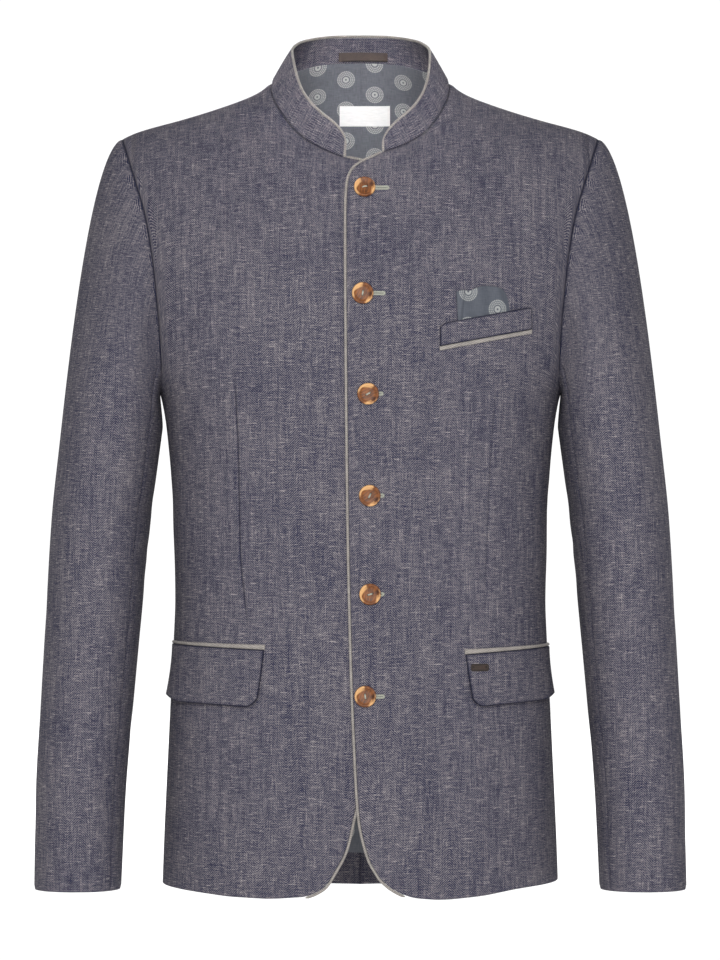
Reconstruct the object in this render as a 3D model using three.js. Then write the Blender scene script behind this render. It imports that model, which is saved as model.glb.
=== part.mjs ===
import * as THREE from 'three';

// A stand-collar jacket with the hollow form of a worn one. All sizes are millimetres.
// X points to the wearer's left, Y to the back and Z up. The origin is the middle of the neck base.

// Cloth and seams
const CLOTH = 2.0;
const LINING = 1.0;
const LINING_GAP = 0.6;
const COLLAR_CLOTH = 2.4;
const SEAM_GAP = 0.3;
const PIPING_RADIUS = 1.2;
const PIPING_WIDTH = 2 * PIPING_RADIUS + SEAM_GAP;
const LAP_RISE = 3.0;
const LAP_FLAT_TO = 34;
const LAP_ENDS_AT = 80;
const SLEEVE_CLEAR = 0.3;
const UNDERARM_CLEAR = 0.3;
const EDGE_PIPING_OFF = 0.75;
const COLLAR_PIPING_OFF = 0.9;
const PATCH_PIPING_OFF = 0.5;
const COLLAR_LIFT = 0.4;
const COLLAR_OUT = 0.1;
const COLLAR_ROLL = 1.2;

// Body form: half width, front depth and back depth at each height. Above the underarm the half width
// is that of the whole chest, which the armholes cut into.
const BODY = [
  { z: -716, half: 176.2, front: 128, back: 128 },
  { z: -666, half: 174.5, front: 127, back: 128 },
  { z: -600, half: 171.5, front: 124, back: 125 },
  { z: -541, half: 168.6, front: 120, back: 117 },
  { z: -488, half: 166.0, front: 117, back: 110 },
  { z: -450, half: 164.6, front: 116, back: 107 },
  { z: -400, half: 165.3, front: 116.5, back: 109 },
  { z: -345, half: 168.2, front: 118.5, back: 116 },
  { z: -300, half: 172.2, front: 121, back: 123 },
  { z: -275, half: 176.4, front: 122, back: 127 },
  { z: -268, half: 178.5, front: 122.2, back: 128 },
  { z: -262, half: 181.8, front: 122.4, back: 128.6 },
  { z: -250, half: 187.0, front: 122.8, back: 130 },
  { z: -234, half: 192.4, front: 123.2, back: 131.5 },
  { z: -205, half: 198.0, front: 123.5, back: 133.5 },
  { z: -190, half: 202.0, front: 123.5, back: 134 },
  { z: -140, half: 211.0, front: 123.5, back: 134 },
  { z: -93, half: 221.0, front: 123.5, back: 134 },
  { z: -59, half: 229.0, front: 123.5, back: 134 },
  { z: -30, half: 235.0, front: 123.5, back: 134 },
  { z: 80, half: 240.0, front: 123.5, back: 134 },
];
const CHEST_Z = -190;
const FRONT_ROUNDNESS = 2.3;
const BACK_ROUNDNESS = 2.4;
const NECK_POINT_X = 79;
const SHOULDER_TIP_X = 212;

// Height of the top of the shoulders, and of the neck base that it runs up to
const FRONT_RIDGE = [
  { x: 0, z: 17 }, { x: 40, z: 16 }, { x: 60, z: 14 }, { x: 72, z: 11 }, { x: 79, z: 8 },
  { x: 87, z: 1.5 }, { x: 96, z: -3.5 }, { x: 124, z: -14.2 }, { x: 159, z: -25 }, { x: 197, z: -35.6 },
  { x: 212, z: -42 }, { x: 230, z: -52 },
];
const BACK_RIDGE = [
  { x: 0, z: 77 }, { x: 20, z: 71.8 }, { x: 40, z: 57.5 }, { x: 60, z: 34 }, { x: 72, z: 18.4 },
  { x: 79, z: 8 }, { x: 87, z: 1.5 }, { x: 96, z: -3.5 }, { x: 124, z: -14.2 }, { x: 159, z: -25 },
  { x: 197, z: -35.6 }, { x: 212, z: -42 }, { x: 230, z: -52 },
];
const FRONT_SLOPE = 1.7;
const BACK_SLOPE = 2;

// Cut lines of each front, seen from the front, with x towards that front's own side
const LEFT_CUT = {
  edge: [
    { x: 14.9, z: -692 }, { x: 5.2, z: -674.5 }, { x: -3.2, z: -637.4 }, { x: -6.3, z: -588 },
    { x: -9.9, z: -495 }, { x: -12.8, z: -350 }, { x: -14.5, z: -110 }, { x: -13.4, z: -89 },
    { x: -11, z: -77.7 }, { x: -5.9, z: -70.7 },
  ],
  corner: [{ x: -5.9, z: -70.7 }, { x: 2.1, z: -65.2 }, { x: 12, z: -61.7 }, { x: 21.2, z: -59 }],
  neckFront: [{ x: 21.2, z: -59 }, { x: 28, z: -56.8 }, { x: 38.5, z: -52.6 }, { x: 49, z: -46.8 }],
  neckSide: [
    { x: 49, z: -46.8 }, { x: 58.6, z: -39.3 }, { x: 70.7, z: -22.2 }, { x: 77.5, z: -8.2 },
    { x: 79.5, z: 1.5 }, { x: 79, z: 8 },
  ],
  hem: [
    { x: 14.9, z: -692 }, { x: 25.6, z: -701.7 }, { x: 36.2, z: -707 }, { x: 49.4, z: -710 },
    { x: 62.7, z: -710.3 }, { x: 101.7, z: -708 }, { x: 140.6, z: -702.6 }, { x: 176, z: -700 },
  ],
};
const RIGHT_CUT = {
  edge: [
    { x: 24.9, z: -694.7 }, { x: 10.7, z: -668 }, { x: 3.2, z: -637.4 }, { x: -5.5, z: -600 },
    { x: -18, z: -530 }, { x: -25.3, z: -432 }, { x: -26, z: -350 }, { x: -21.9, z: -110 },
    { x: -20.5, z: -89 }, { x: -18.3, z: -79.5 }, { x: -13.2, z: -71.5 },
  ],
  corner: [
    { x: -13.2, z: -71.5 }, { x: -8, z: -66 }, { x: -2.1, z: -63.7 }, { x: 5, z: -62.8 },
    { x: 15.1, z: -62.5 },
  ],
  neckFront: [{ x: 15.1, z: -62.5 }, { x: 21.7, z: -59.8 }, { x: 32.6, z: -55.4 }, { x: 43.5, z: -49.4 }],
  neckSide: [
    { x: 43.5, z: -49.4 }, { x: 54.6, z: -41.2 }, { x: 69.2, z: -22.6 }, { x: 77, z: -8.2 },
    { x: 79.5, z: 1.5 }, { x: 79, z: 8 },
  ],
  hem: [
    { x: 24.9, z: -694.7 }, { x: 30.2, z: -701 }, { x: 40.8, z: -707 }, { x: 52.4, z: -709.4 },
    { x: 65.4, z: -709.5 }, { x: 111, z: -708.5 }, { x: 138, z: -706.3 }, { x: 176, z: -703 },
  ],
};
const BACK_NECK = [
  { x: 0, z: 30 }, { x: 20, z: 29.5 }, { x: 40, z: 27 }, { x: 60, z: 20.5 }, { x: 72, z: 14.5 },
  { x: 79, z: 8 },
];
const BACK_HEM = [
  { x: 0, z: -714 }, { x: 60, z: -712.5 }, { x: 110, z: -709 }, { x: 150, z: -705 }, { x: 176, z: -701.5 },
];
const UNDERARM_Z = -268;
const FRONT_ARMHOLE = [
  { x: 178.5, z: -268 }, { x: 178, z: -266 }, { x: 177, z: -262 }, { x: 175.5, z: -250 },
  { x: 176, z: -235 }, { x: 177.8, z: -206 }, { x: 182, z: -160 }, { x: 189.3, z: -115 },
  { x: 200.5, z: -77 }, { x: 206, z: -60 }, { x: 212, z: -42 },
];
const BACK_ARMHOLE = [
  { x: 178.5, z: -268 }, { x: 178.8, z: -262 }, { x: 180.5, z: -243 }, { x: 183, z: -220 },
  { x: 187, z: -165 }, { x: 195, z: -105 }, { x: 201, z: -80 }, { x: 207, z: -60 }, { x: 212, z: -42 },
];

// Sleeves: outer and inner x, half depth and forward swing at each height
const SLEEVE = [
  { z: -300, outer: 266, inner: 176, depth: 76, swing: 0 },
  { z: -381, outer: 274.5, inner: 186.4, depth: 72, swing: 2 },
  { z: -452, outer: 278.5, inner: 193.1, depth: 67, swing: 7 },
  { z: -541, outer: 283, inner: 201.1, depth: 61, swing: 17 },
  { z: -620, outer: 287, inner: 207.5, depth: 56, swing: 27 },
  { z: -706, outer: 288, inner: 211.4, depth: 52, swing: 36 },
];
const SLEEVE_ROUNDNESS = 2.2;
const SLEEVE_TOP_Z = -300;
const CUFF_Z = -706;
// Direction in which the sleeve leaves the armhole, by turn from the shoulder tip through the front
const CAP = [
  { turn: 0, x: 1, y: 0, z: -0.35, start: 90, end: 150 },
  { turn: 45, x: 0.95, y: -0.28, z: -0.3, start: 80, end: 130 },
  { turn: 90, x: 0.75, y: -0.6, z: -0.35, start: 60, end: 100 },
  { turn: 135, x: 0.55, y: -0.55, z: -0.65, start: 42, end: 55 },
  { turn: 180, x: -0.1, y: 0, z: -0.99, start: 22, end: 12 },
];

// Collar: top line of the piped edge, from the front end round to the middle of the back
const COLLAR_TOP = [
  { x: 16.9, y: -82, z: -44.2 }, { x: 20, y: -81, z: -38 }, { x: 27.1, y: -79, z: -29.9 },
  { x: 37.2, y: -74, z: -21.5 }, { x: 46.3, y: -66, z: -12 }, { x: 54, y: -53, z: 1 },
  { x: 58.2, y: -38, z: 15.3 }, { x: 60.6, y: -18, z: 29 }, { x: 61.7, y: 6, z: 39 },
  { x: 56, y: 35, z: 47.5 }, { x: 42, y: 58, z: 53 }, { x: 21, y: 70, z: 56 }, { x: 0, y: 74, z: 56.5 },
];
const NECK_CENTRE_X = 3.65;

// What lies on the fronts, with x towards the front's own side
const FLAPS = {
  left: { innerX: 91.5, footX: 98.2, outerX: 165.5, innerZ: -497.5, outerZ: -492.5, drop: 46 },
  right: { innerX: 83.6, footX: 87.9, outerX: 164.5, innerZ: -493.5, outerZ: -490, drop: 50 },
};
const FLAP_CORNER = { width: 0.14, inner: 0.16, outer: 0.1 };
const FLAP_SPRING = 2.4;
const WELT = { innerX: 69, outerX: 149.5, innerZ: -229, outerZ: -213.5, height: 19.5 };
const SQUARE = {
  innerX: 85, outerX: 130, rise: 30, cloth: 1.2, waves: 5, wave: 1.5, fall: 3, lean: 2, puff: 1.2,
};
const TAB = { x: 103, z: -509, width: 15.6, height: 6.5, cloth: 1, lift: 0.5 };
const PATCH_LIFT = 0.8;
const BUTTON_LIFT = 0.5;
const BUTTON_RADIUS = 9.25;
const BUTTON_THICKNESS = 3.8;
const BUTTON_PROFILE = [
  { out: 0, up: 0 }, { out: 0.82, up: 0 }, { out: 1, up: 0.3 }, { out: 1, up: 0.72 }, { out: 0.9, up: 1 },
  { out: 0.72, up: 0.94 }, { out: 0.5, up: 0.62 }, { out: 0, up: 0.55 },
];
const BUTTONS = [
  { x: 3.8, z: -91.7 }, { x: 2.1, z: -183.3 }, { x: 6.7, z: -270.3 }, { x: 8.1, z: -358.7 },
  { x: 8.4, z: -444.6 }, { x: 4.3, z: -533.6 },
];
const LOOP = { x: 2.6, width: 44, from: 0.2, to: 0.5, cloth: 1 };
const LABEL = { x: 4.3, z: -13.7, width: 47, height: 18, cloth: 1 };
const TURN_UP = 26;

// Room left for the piping where it runs round the corners, as shares of the corner line and of the hem
const CORNER_ROOM = 0.6;
const HEM_ROOM = 0.5;
const HEM_ROOM_FROM = { start: 0, full: 0.12 };
const HEM_ROOM_TO = { start: 0.2, full: 0.42 };
const HEM_START_SHARE = 1 / 3;

// Large soft folds pressed into the walls: place, run, half width, half length and depth
const BODY_FOLDS = [
  { side: 'right', half: 'front', x: 148, z: -345, dx: 26, dz: -40, width: 12, depth: 1.8 },
  { side: 'left', half: 'front', x: 150, z: -350, dx: 24, dz: -34, width: 12, depth: 1.5 },
  { side: 'right', half: 'back', x: 95, z: -430, dx: 70, dz: 16, width: 15, depth: 2.2 },
  { side: 'left', half: 'back', x: 92, z: -440, dx: 66, dz: 20, width: 14, depth: 2.0 },
];
const SLEEVE_FOLDS = [
  { turn: 100, z: -405, sweep: 46, width: 13, lean: -0.16, depth: 2.2 },
  { turn: 150, z: -372, sweep: 40, width: 11, lean: 0.2, depth: 2.4 },
  { turn: 215, z: -425, sweep: 44, width: 13, lean: 0.18, depth: 2.0 },
  { turn: 320, z: -455, sweep: 38, width: 15, lean: -0.14, depth: 1.6 },
];

// Grid steps of each wall
const FRONT_STEPS = { corner: 2, neckFront: 3, neckSide: 5, shoulder: 8, side: 15, armhole: 9 };
const BACK_STEPS = { neck: 6, shoulder: 6, side: 13, armhole: 9 };
const SLEEVE_STEPS = { cap: 7, arm: 10 };
const SHORTEST_STEP = 0.2;
const FRONT_SEAM_STEP = 7;
const BACK_SEAM_STEP = 13;
const SLEEVE_AROUND = 2 * FRONT_STEPS.armhole;
const SEAM_TURN = 0.7;
const COLLAR_STEPS = 3;
const HEM_PIPING_STEPS = 4;
const EDGE_PIPING_CUTS = 60;
const COLLAR_PIPING_CUTS = 48;
const BUTTON_SIDES = 18;
const TAPE_STEPS = 4;
const LOOP_COLLAR_STEPS = 4;
const GRID_ROUNDS = 200;
const TURN_RADIUS = 150;
const FOLD_REACH = 0.6;

const COLOURS = {
  cloth: [0x4f5566, 0.93],
  lining: [0x5d6f88, 0.6],
  piping: [0xb4aea4, 0.85],
  horn: [0x7a5336, 0.4],
  leather: [0x5a3a28, 0.6],
  label: [0xe8e6df, 0.8],
};

function material(kind) {
  const [color, roughness] = COLOURS[kind];
  return new THREE.MeshStandardMaterial({ color, roughness, metalness: 0 });
}

// A value read smoothly from a table with named columns, with no overshoot between its rows
function column(rows, key, value) {
  const at = rows.map((row) => row[key]);
  const out = rows.map((row) => row[value]);
  const rise = at.slice(1).map((next, i) => (out[i + 1] - out[i]) / (next - at[i]));
  const slope = out.map((unused, i) => {
    if (i === 0) return rise[0];
    if (i === out.length - 1) return rise[i - 1];
    if (rise[i - 1] * rise[i] <= 0) return 0;
    return (2 * rise[i - 1] * rise[i]) / (rise[i - 1] + rise[i]);
  });
  return (key0) => {
    const x = THREE.MathUtils.clamp(key0, at[0], at[at.length - 1]);
    let i = 0;
    while (i < at.length - 2 && x > at[i + 1]) i += 1;
    const span = at[i + 1] - at[i];
    const t = (x - at[i]) / span;
    return hermite(t, out[i], slope[i] * span, out[i + 1], slope[i + 1] * span);
  };
}

function hermite(t, from, leaving, to, arriving) {
  const s = 1 - t;
  return (1 + 2 * t) * s * s * from + t * s * s * leaving + t * t * (3 - 2 * t) * to - t * t * s * arriving;
}

// A smooth line through points, read from 0 at its start to 1 at its end by length
function trace(points) {
  const axes = Object.keys(points[0]);
  const rows = points.map((point) => ({ ...point, run: 0 }));
  for (let i = 1; i < rows.length; i += 1) {
    const step = Math.hypot(...axes.map((axis) => rows[i][axis] - rows[i - 1][axis]));
    rows[i].run = rows[i - 1].run + step;
  }
  const total = rows[rows.length - 1].run;
  const reads = axes.map((axis) => column(rows, 'run', axis));
  return (t) => Object.fromEntries(axes.map((axis, k) => [axis, reads[k](t * total)]));
}

// Several lines end to end, each given its share of the steps
function chain(lines, steps) {
  const total = steps.reduce((sum, n) => sum + n, 0);
  return (t) => {
    let at = t * total;
    let k = 0;
    while (k < lines.length - 1 && at > steps[k]) {
      at -= steps[k];
      k += 1;
    }
    return lines[k](Math.min(at / steps[k], 1));
  };
}

// The same line with its steps even along the cloth, rather than as seen from the front
function even(half, line) {
  const count = 120;
  const rows = [{ t: 0, run: 0 }];
  let last = bodyPoint(half, line(0).x, line(0).z);
  for (let k = 1; k <= count; k += 1) {
    const at = line(k / count);
    const next = bodyPoint(half, at.x, at.z);
    rows.push({ t: k / count, run: rows[k - 1].run + Math.max(next.distanceTo(last), 1e-6) });
    last = next;
  }
  const read = column(rows, 'run', 't');
  return (s) => line(read(s * rows[count].run));
}

// A line seen from the front, moved to its left by a distance
function inset(line, distance) {
  const step = 0.002;
  return (t) => {
    const here = line(t);
    const before = line(Math.max(t - step, 0));
    const after = line(Math.min(t + step, 1));
    const length = Math.hypot(after.x - before.x, after.z - before.z);
    return {
      x: here.x + (distance * (after.z - before.z)) / length,
      z: here.z - (distance * (after.x - before.x)) / length,
    };
  };
}

function smoothStep(from, to, value) {
  const t = THREE.MathUtils.clamp((value - from) / (to - from), 0, 1);
  return t * t * (3 - 2 * t);
}

const halfWidth = column(BODY, 'z', 'half');
const HALVES = {
  front: {
    depth: column(BODY, 'z', 'front'), ridge: column(FRONT_RIDGE, 'x', 'z'),
    round: FRONT_ROUNDNESS, slope: FRONT_SLOPE, toward: -1,
  },
  back: {
    depth: column(BODY, 'z', 'back'), ridge: column(BACK_RIDGE, 'x', 'z'),
    round: BACK_ROUNDNESS, slope: BACK_SLOPE, toward: 1,
  },
};

// The body's form read by turn (0 in the middle, a quarter turn at the side) and by height unrolled
// over the shoulder, so that a grid of even steps stays even where the cloth turns over
function unroll(half, point) {
  const above = half.ridge(Math.abs(point.x)) - CHEST_Z;
  const turn = Math.asin(THREE.MathUtils.clamp(point.x / halfWidth(point.z), -1, 1));
  if (point.z <= CHEST_Z) return [turn, point.z];
  const lift = Math.asin(THREE.MathUtils.clamp((point.z - CHEST_Z) / above, 0, 1));
  return [turn, CHEST_Z + above * lift];
}

function rollUp(half, turn, height) {
  let x = halfWidth(Math.min(height, 0)) * Math.sin(turn);
  let z = height;
  if (height > CHEST_Z) {
    for (let round = 0; round < 24; round += 1) {
      const above = half.ridge(Math.abs(x)) - CHEST_Z;
      z = CHEST_Z + above * Math.sin(Math.min((height - CHEST_Z) / above, Math.PI / 2));
      x = halfWidth(z) * Math.sin(turn);
    }
  }
  return bodyPoint(half, x, z, Math.cos(turn));
}

function bodyPoint(half, x, z, cosine) {
  const across = cosine === undefined ? 1 - (x / halfWidth(z)) ** 2 : cosine * cosine;
  const sine = Math.sqrt(Math.max(1 - across, 0));
  const sideways = Math.max(1 - sine ** half.round, 0) ** (1 / half.round);
  let over = 1;
  if (z > CHEST_Z) {
    const up = Math.min((z - CHEST_Z) / (half.ridge(Math.abs(x)) - CHEST_Z), 1);
    over = Math.max(1 - up ** half.slope, 0) ** (1 / half.slope);
  }
  return new THREE.Vector3(x, half.toward * half.depth(z) * sideways * over, z);
}

function foldDepth(folds, x, z) {
  let total = 0;
  for (const fold of folds) {
    const length = Math.hypot(fold.dx, fold.dz);
    const along = ((x - fold.x) * fold.dx + (z - fold.z) * fold.dz) / length;
    const off = ((x - fold.x) * fold.dz - (z - fold.z) * fold.dx) / length;
    total += fold.depth * Math.exp(-((along / (FOLD_REACH * length)) ** 2) - (off / fold.width) ** 2);
  }
  return total;
}

function lapRise(side, half, x) {
  if (side.name !== 'left' || half !== HALVES.front) return 0;
  return LAP_RISE * (1 - smoothStep(LAP_FLAT_TO, LAP_ENDS_AT, x));
}

// A point of a body panel and its outward normal, moved out by a lift
function panelPoint(side, half, turn, height, lift) {
  const step = 0.004;
  const reach = 1.5;
  const low = Math.max(turn - step, -1.5);
  const high = Math.min(turn + step, Math.PI / 2 - 1e-4);
  const across = rollUp(half, high, height).sub(rollUp(half, low, height));
  const upward = rollUp(half, turn, height).sub(rollUp(half, turn, height - reach));
  const normal = across.cross(upward).normalize();
  if (normal.y * half.toward < 0) normal.negate();
  const point = rollUp(half, turn, height);
  const folds = BODY_FOLDS.filter((fold) => fold.side === side.name && HALVES[fold.half] === half);
  const out = lapRise(side, half, point.x) - foldDepth(folds, point.x, point.z);
  return { point: point.addScaledVector(normal, out + lift), normal };
}

function frontPoint(side, x, z, lift) {
  const [turn, height] = unroll(HALVES.front, { x, z });
  return panelPoint(side, HALVES.front, turn, height, lift);
}

// A point inside four boundary lines of a panel
function blend(lines, u, v) {
  const [left, right, bottom, top] = lines;
  const corner = [bottom(0), bottom(1), top(0), top(1)];
  const l = left(v);
  const r = right(v);
  const b = bottom(u);
  const t = top(u);
  return [0, 1].map((k) => (1 - u) * l[k] + u * r[k] + (1 - v) * b[k] + v * t[k]
    - (1 - u) * (1 - v) * corner[0][k] - u * (1 - v) * corner[1][k]
    - (1 - u) * v * corner[2][k] - u * v * corner[3][k]);
}

// The inner places of a grid drawn smooth between the held boundary, so that no cell folds over another
function relax(places, rounds) {
  const dot = (a, b) => a[0] * b[0] * TURN_RADIUS ** 2 + a[1] * b[1];
  const half = (a, b) => [(a[0] - b[0]) / 2, (a[1] - b[1]) / 2];
  for (let round = 0; round < rounds; round += 1) {
    for (let i = 1; i < places.length - 1; i += 1) {
      for (let j = 1; j < places[0].length - 1; j += 1) {
        const [below, here, above] = places.slice(i - 1, i + 2);
        const across = half(here[j + 1], here[j - 1]);
        const upward = half(above[j], below[j]);
        const alpha = dot(upward, upward);
        const beta = dot(across, upward);
        const gamma = dot(across, across);
        here[j] = [0, 1].map((k) => {
          const beside = alpha * (here[j + 1][k] + here[j - 1][k]) + gamma * (above[j][k] + below[j][k]);
          const corners = above[j + 1][k] - above[j - 1][k] - below[j + 1][k] + below[j - 1][k];
          return (beside - (beta / 2) * corners) / (2 * (alpha + gamma));
        });
      }
    }
  }
  return places;
}

const mirror = (vector, sign) => vector.clone().multiply(new THREE.Vector3(sign, 1, 1));

// A closed wall from a grid of rows, each cell holding its outer and inner point
function wall(name, grid, kind) {
  const rows = grid.length;
  const cols = grid[0].length;
  const index = (i, j, inner) => (inner ? rows * cols : 0) + i * cols + j;
  const position = [];
  for (const face of ['outer', 'inner']) {
    for (const row of grid) for (const cell of row) position.push(...cell[face].toArray());
  }
  const triangles = [];
  const apart = (a, b) => Math.hypot(...[0, 1, 2].map((k) => position[3 * a + k] - position[3 * b + k]));
  const quad = (a, b, c, d) => {
    if (apart(a, c) > apart(b, d)) triangles.push(a, b, d, b, c, d);
    else triangles.push(a, b, c, a, c, d);
  };
  for (let i = 0; i < rows - 1; i += 1) {
    for (let j = 0; j < cols - 1; j += 1) {
      quad(index(i, j), index(i, j + 1), index(i + 1, j + 1), index(i + 1, j));
      quad(index(i, j, 1), index(i + 1, j, 1), index(i + 1, j + 1, 1), index(i, j + 1, 1));
    }
  }
  const rim = [];
  for (let j = 0; j < cols; j += 1) rim.push([0, j]);
  for (let i = 1; i < rows; i += 1) rim.push([i, cols - 1]);
  for (let j = cols - 2; j >= 0; j -= 1) rim.push([rows - 1, j]);
  for (let i = rows - 2; i > 0; i -= 1) rim.push([i, 0]);
  rim.forEach(([i, j], k) => {
    const [m, n] = rim[(k + 1) % rim.length];
    quad(index(i, j), index(i, j, 1), index(m, n, 1), index(m, n));
  });
  return solid(name, position, triangles, kind);
}

function solid(name, position, triangles, kind) {
  let volume = 0;
  const corner = (k) => new THREE.Vector3().fromArray(position, 3 * k);
  for (let k = 0; k < triangles.length; k += 3) {
    volume += corner(triangles[k]).dot(corner(triangles[k + 1]).cross(corner(triangles[k + 2])));
  }
  if (volume < 0) triangles.reverse();
  const geometry = new THREE.BufferGeometry();
  geometry.setAttribute('position', new THREE.Float32BufferAttribute(position, 3));
  geometry.setIndex(triangles);
  const mesh = new THREE.Mesh(geometry, material(kind));
  mesh.name = name;
  return mesh;
}

// A round cord of one radius along points
function cord(name, points, steps) {
  const sides = 6;
  const outline = [];
  for (let k = 0; k < sides; k += 1) {
    const turn = (2 * Math.PI * k) / sides;
    outline.push(new THREE.Vector2(Math.cos(turn), Math.sin(turn)).multiplyScalar(PIPING_RADIUS));
  }
  const geometry = new THREE.ExtrudeGeometry(new THREE.Shape(outline), {
    steps, bevelEnabled: false, extrudePath: new THREE.CatmullRomCurve3(points, false, 'centripetal'),
  });
  const mesh = new THREE.Mesh(geometry, material('piping'));
  mesh.name = name;
  return mesh;
}

// Body panels
function panelGrid(side, half, lines, steps) {
  const cols = lines.across;
  const rows = steps.side + steps.armhole;
  const edges = ['left', 'right', 'bottom', 'top'].map((name) => (t) => unroll(half, lines[name](t)));
  const places = [];
  for (let i = 0; i <= rows; i += 1) {
    places.push([]);
    for (let j = 0; j <= cols; j += 1) places[i].push(blend(edges, j / cols, i / rows));
  }
  relax(places, GRID_ROUNDS);
  const grid = [];
  for (let i = 0; i <= rows; i += 1) {
    const row = [];
    for (let j = 0; j <= cols; j += 1) {
      const [turn, height] = places[i][j];
      const { point, normal } = panelPoint(side, half, turn, height, 0);
      const atSide = j === cols && i <= steps.side;
      const atShoulder = i === rows && j >= cols - steps.shoulder;
      const atBackSeam = half === HALVES.back && j === 0;
      if (atSide || atShoulder) normal.setY(0).normalize();
      if (atBackSeam) normal.setX(0).normalize();
      const inner = point.clone().addScaledVector(normal, -CLOTH);
      for (const end of [point, inner]) {
        if (atSide || atShoulder) end.y = (half.toward * SEAM_GAP) / 2;
        if (atBackSeam) end.x = SEAM_GAP / 2;
      }
      row.push({ outer: point, inner, normal });
    }
    grid.push(row);
  }
  return grid;
}

function mirrored(grid, sign) {
  return grid.map((row) => row.map((cell) => ({
    outer: mirror(cell.outer, sign), inner: mirror(cell.inner, sign), normal: mirror(cell.normal, sign),
  })));
}

const frontArmhole = even(HALVES.front, trace(FRONT_ARMHOLE));
const backArmhole = even(HALVES.back, trace(BACK_ARMHOLE));

const shoulderLine = (ridge) => (t) => {
  const x = THREE.MathUtils.lerp(NECK_POINT_X, SHOULDER_TIP_X, t);
  return { x, z: ridge(x) };
};

const sideLine = (hemZ) => (t) => {
  const z = THREE.MathUtils.lerp(hemZ, UNDERARM_Z, t);
  return { x: halfWidth(z), z };
};

function frontLines(cut) {
  const foot = cut.hem[cut.hem.length - 1];
  const steps = FRONT_STEPS;
  const half = HALVES.front;
  const edge = inset(trace(cut.edge), PIPING_WIDTH);
  const rising = [edge, cornerLine(cut, edge(1)), trace(cut.neckFront)].map((line) => even(half, line));
  const edgeSteps = steps.side + steps.armhole - steps.corner - steps.neckFront;
  const neckSide = even(half, trace(cut.neckSide));
  return {
    left: chain(rising, [edgeSteps, steps.corner, steps.neckFront]),
    top: chain([neckSide, shoulderLine(half.ridge)], [steps.neckSide, steps.shoulder]),
    right: chain([sideLine(foot.z), frontArmhole], [steps.side, steps.armhole]),
    bottom: even(half, hemLine(cut)),
    across: steps.neckSide + steps.shoulder,
  };
}

// The top corner starts where the piped edge ends, so it is drawn in from the piping as the edge is
function cornerLine(cut, start) {
  const corner = trace(cut.corner);
  return (t) => {
    const at = corner(t);
    const ease = 1 - t;
    return {
      x: at.x + (start.x - cut.corner[0].x) * ease,
      z: at.z + (start.z - cut.corner[0].z) * ease - dropAt(t),
    };
  };
}

// Room for the piping along the top corner, fading out where the collar starts
function dropAt(t) {
  return PIPING_WIDTH * Math.sin(Math.PI * Math.min(t, 1)) * CORNER_ROOM;
}

function hemLine(cut) {
  const start = inset(trace(cut.edge), PIPING_WIDTH)(0);
  const hem = trace(cut.hem);
  return (t) => {
    const at = hem(t);
    const ease = Math.max(1 - t / HEM_START_SHARE, 0);
    const begun = smoothStep(HEM_ROOM_FROM.start, HEM_ROOM_FROM.full, t);
    const ended = smoothStep(HEM_ROOM_TO.start, HEM_ROOM_TO.full, t);
    const lifted = HEM_ROOM * PIPING_WIDTH * begun * (1 - ended);
    const x = at.x + (start.x - cut.hem[0].x) * ease;
    return { x: Math.min(x, halfWidth(at.z)), z: at.z + (start.z - cut.hem[0].z) * ease + lifted };
  };
}

const SIDES = {
  left: { name: 'left', sign: 1, cut: LEFT_CUT },
  right: { name: 'right', sign: -1, cut: RIGHT_CUT },
};

function backLines() {
  const steps = BACK_STEPS;
  const half = HALVES.back;
  const neck = even(half, trace(BACK_NECK));
  return {
    left: even(half, (t) => ({ x: 0, z: THREE.MathUtils.lerp(BACK_HEM[0].z, BACK_NECK[0].z, t) })),
    top: chain([neck, shoulderLine(half.ridge)], [steps.neck, steps.shoulder]),
    right: chain([sideLine(BACK_HEM[BACK_HEM.length - 1].z), backArmhole], [steps.side, steps.armhole]),
    bottom: even(half, trace(BACK_HEM)),
    across: steps.neck + steps.shoulder,
  };
}

// Back lining: the back panel's own points, moved in, short of the hem, the side and the armhole
function liningGrid(panel) {
  const cols = panel[0].length - 1;
  const rows = panel.length - 1;
  const read = (i, j, inward) => {
    const a = Math.min(Math.floor(i), rows - 1);
    const b = Math.min(Math.floor(j), cols - 1);
    const movedIn = (cell) => cell.outer.clone().addScaledVector(cell.normal, -inward);
    const ends = [a, a + 1].map((m) => movedIn(panel[m][b]).lerp(movedIn(panel[m][b + 1]), j - b));
    return ends[0].lerp(ends[1], i - a);
  };
  const grid = [];
  const hemRow = TURN_UP / ((UNDERARM_Z - BACK_HEM[0].z) / BACK_STEPS.side);
  for (let i = 0; i <= rows; i += 1) {
    const row = [];
    for (let j = 0; j <= cols; j += 1) {
      const at = Math.max(i, hemRow);
      row.push({ outer: read(at, j, CLOTH + LINING_GAP), inner: read(at, j, CLOTH + LINING_GAP + LINING) });
    }
    if (i === 0 || i > hemRow + SHORTEST_STEP) grid.push(row);
  }
  return grid;
}

// Sleeves: rings of steps round the arm, from the armhole's own points to the cuff
const cuffToTop = [...SLEEVE].reverse();
const sleeveOuter = column(cuffToTop, 'z', 'outer');
const sleeveInner = column(cuffToTop, 'z', 'inner');
const sleeveDepth = column(cuffToTop, 'z', 'depth');
const sleeveSwing = column(cuffToTop, 'z', 'swing');
const cap = {
  x: column(CAP, 'turn', 'x'), y: column(CAP, 'turn', 'y'), z: column(CAP, 'turn', 'z'),
  start: column(CAP, 'turn', 'start'), end: column(CAP, 'turn', 'end'),
};

const ARMHOLE_MIDDLE = new THREE.Vector3(186, 0, -160);

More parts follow.
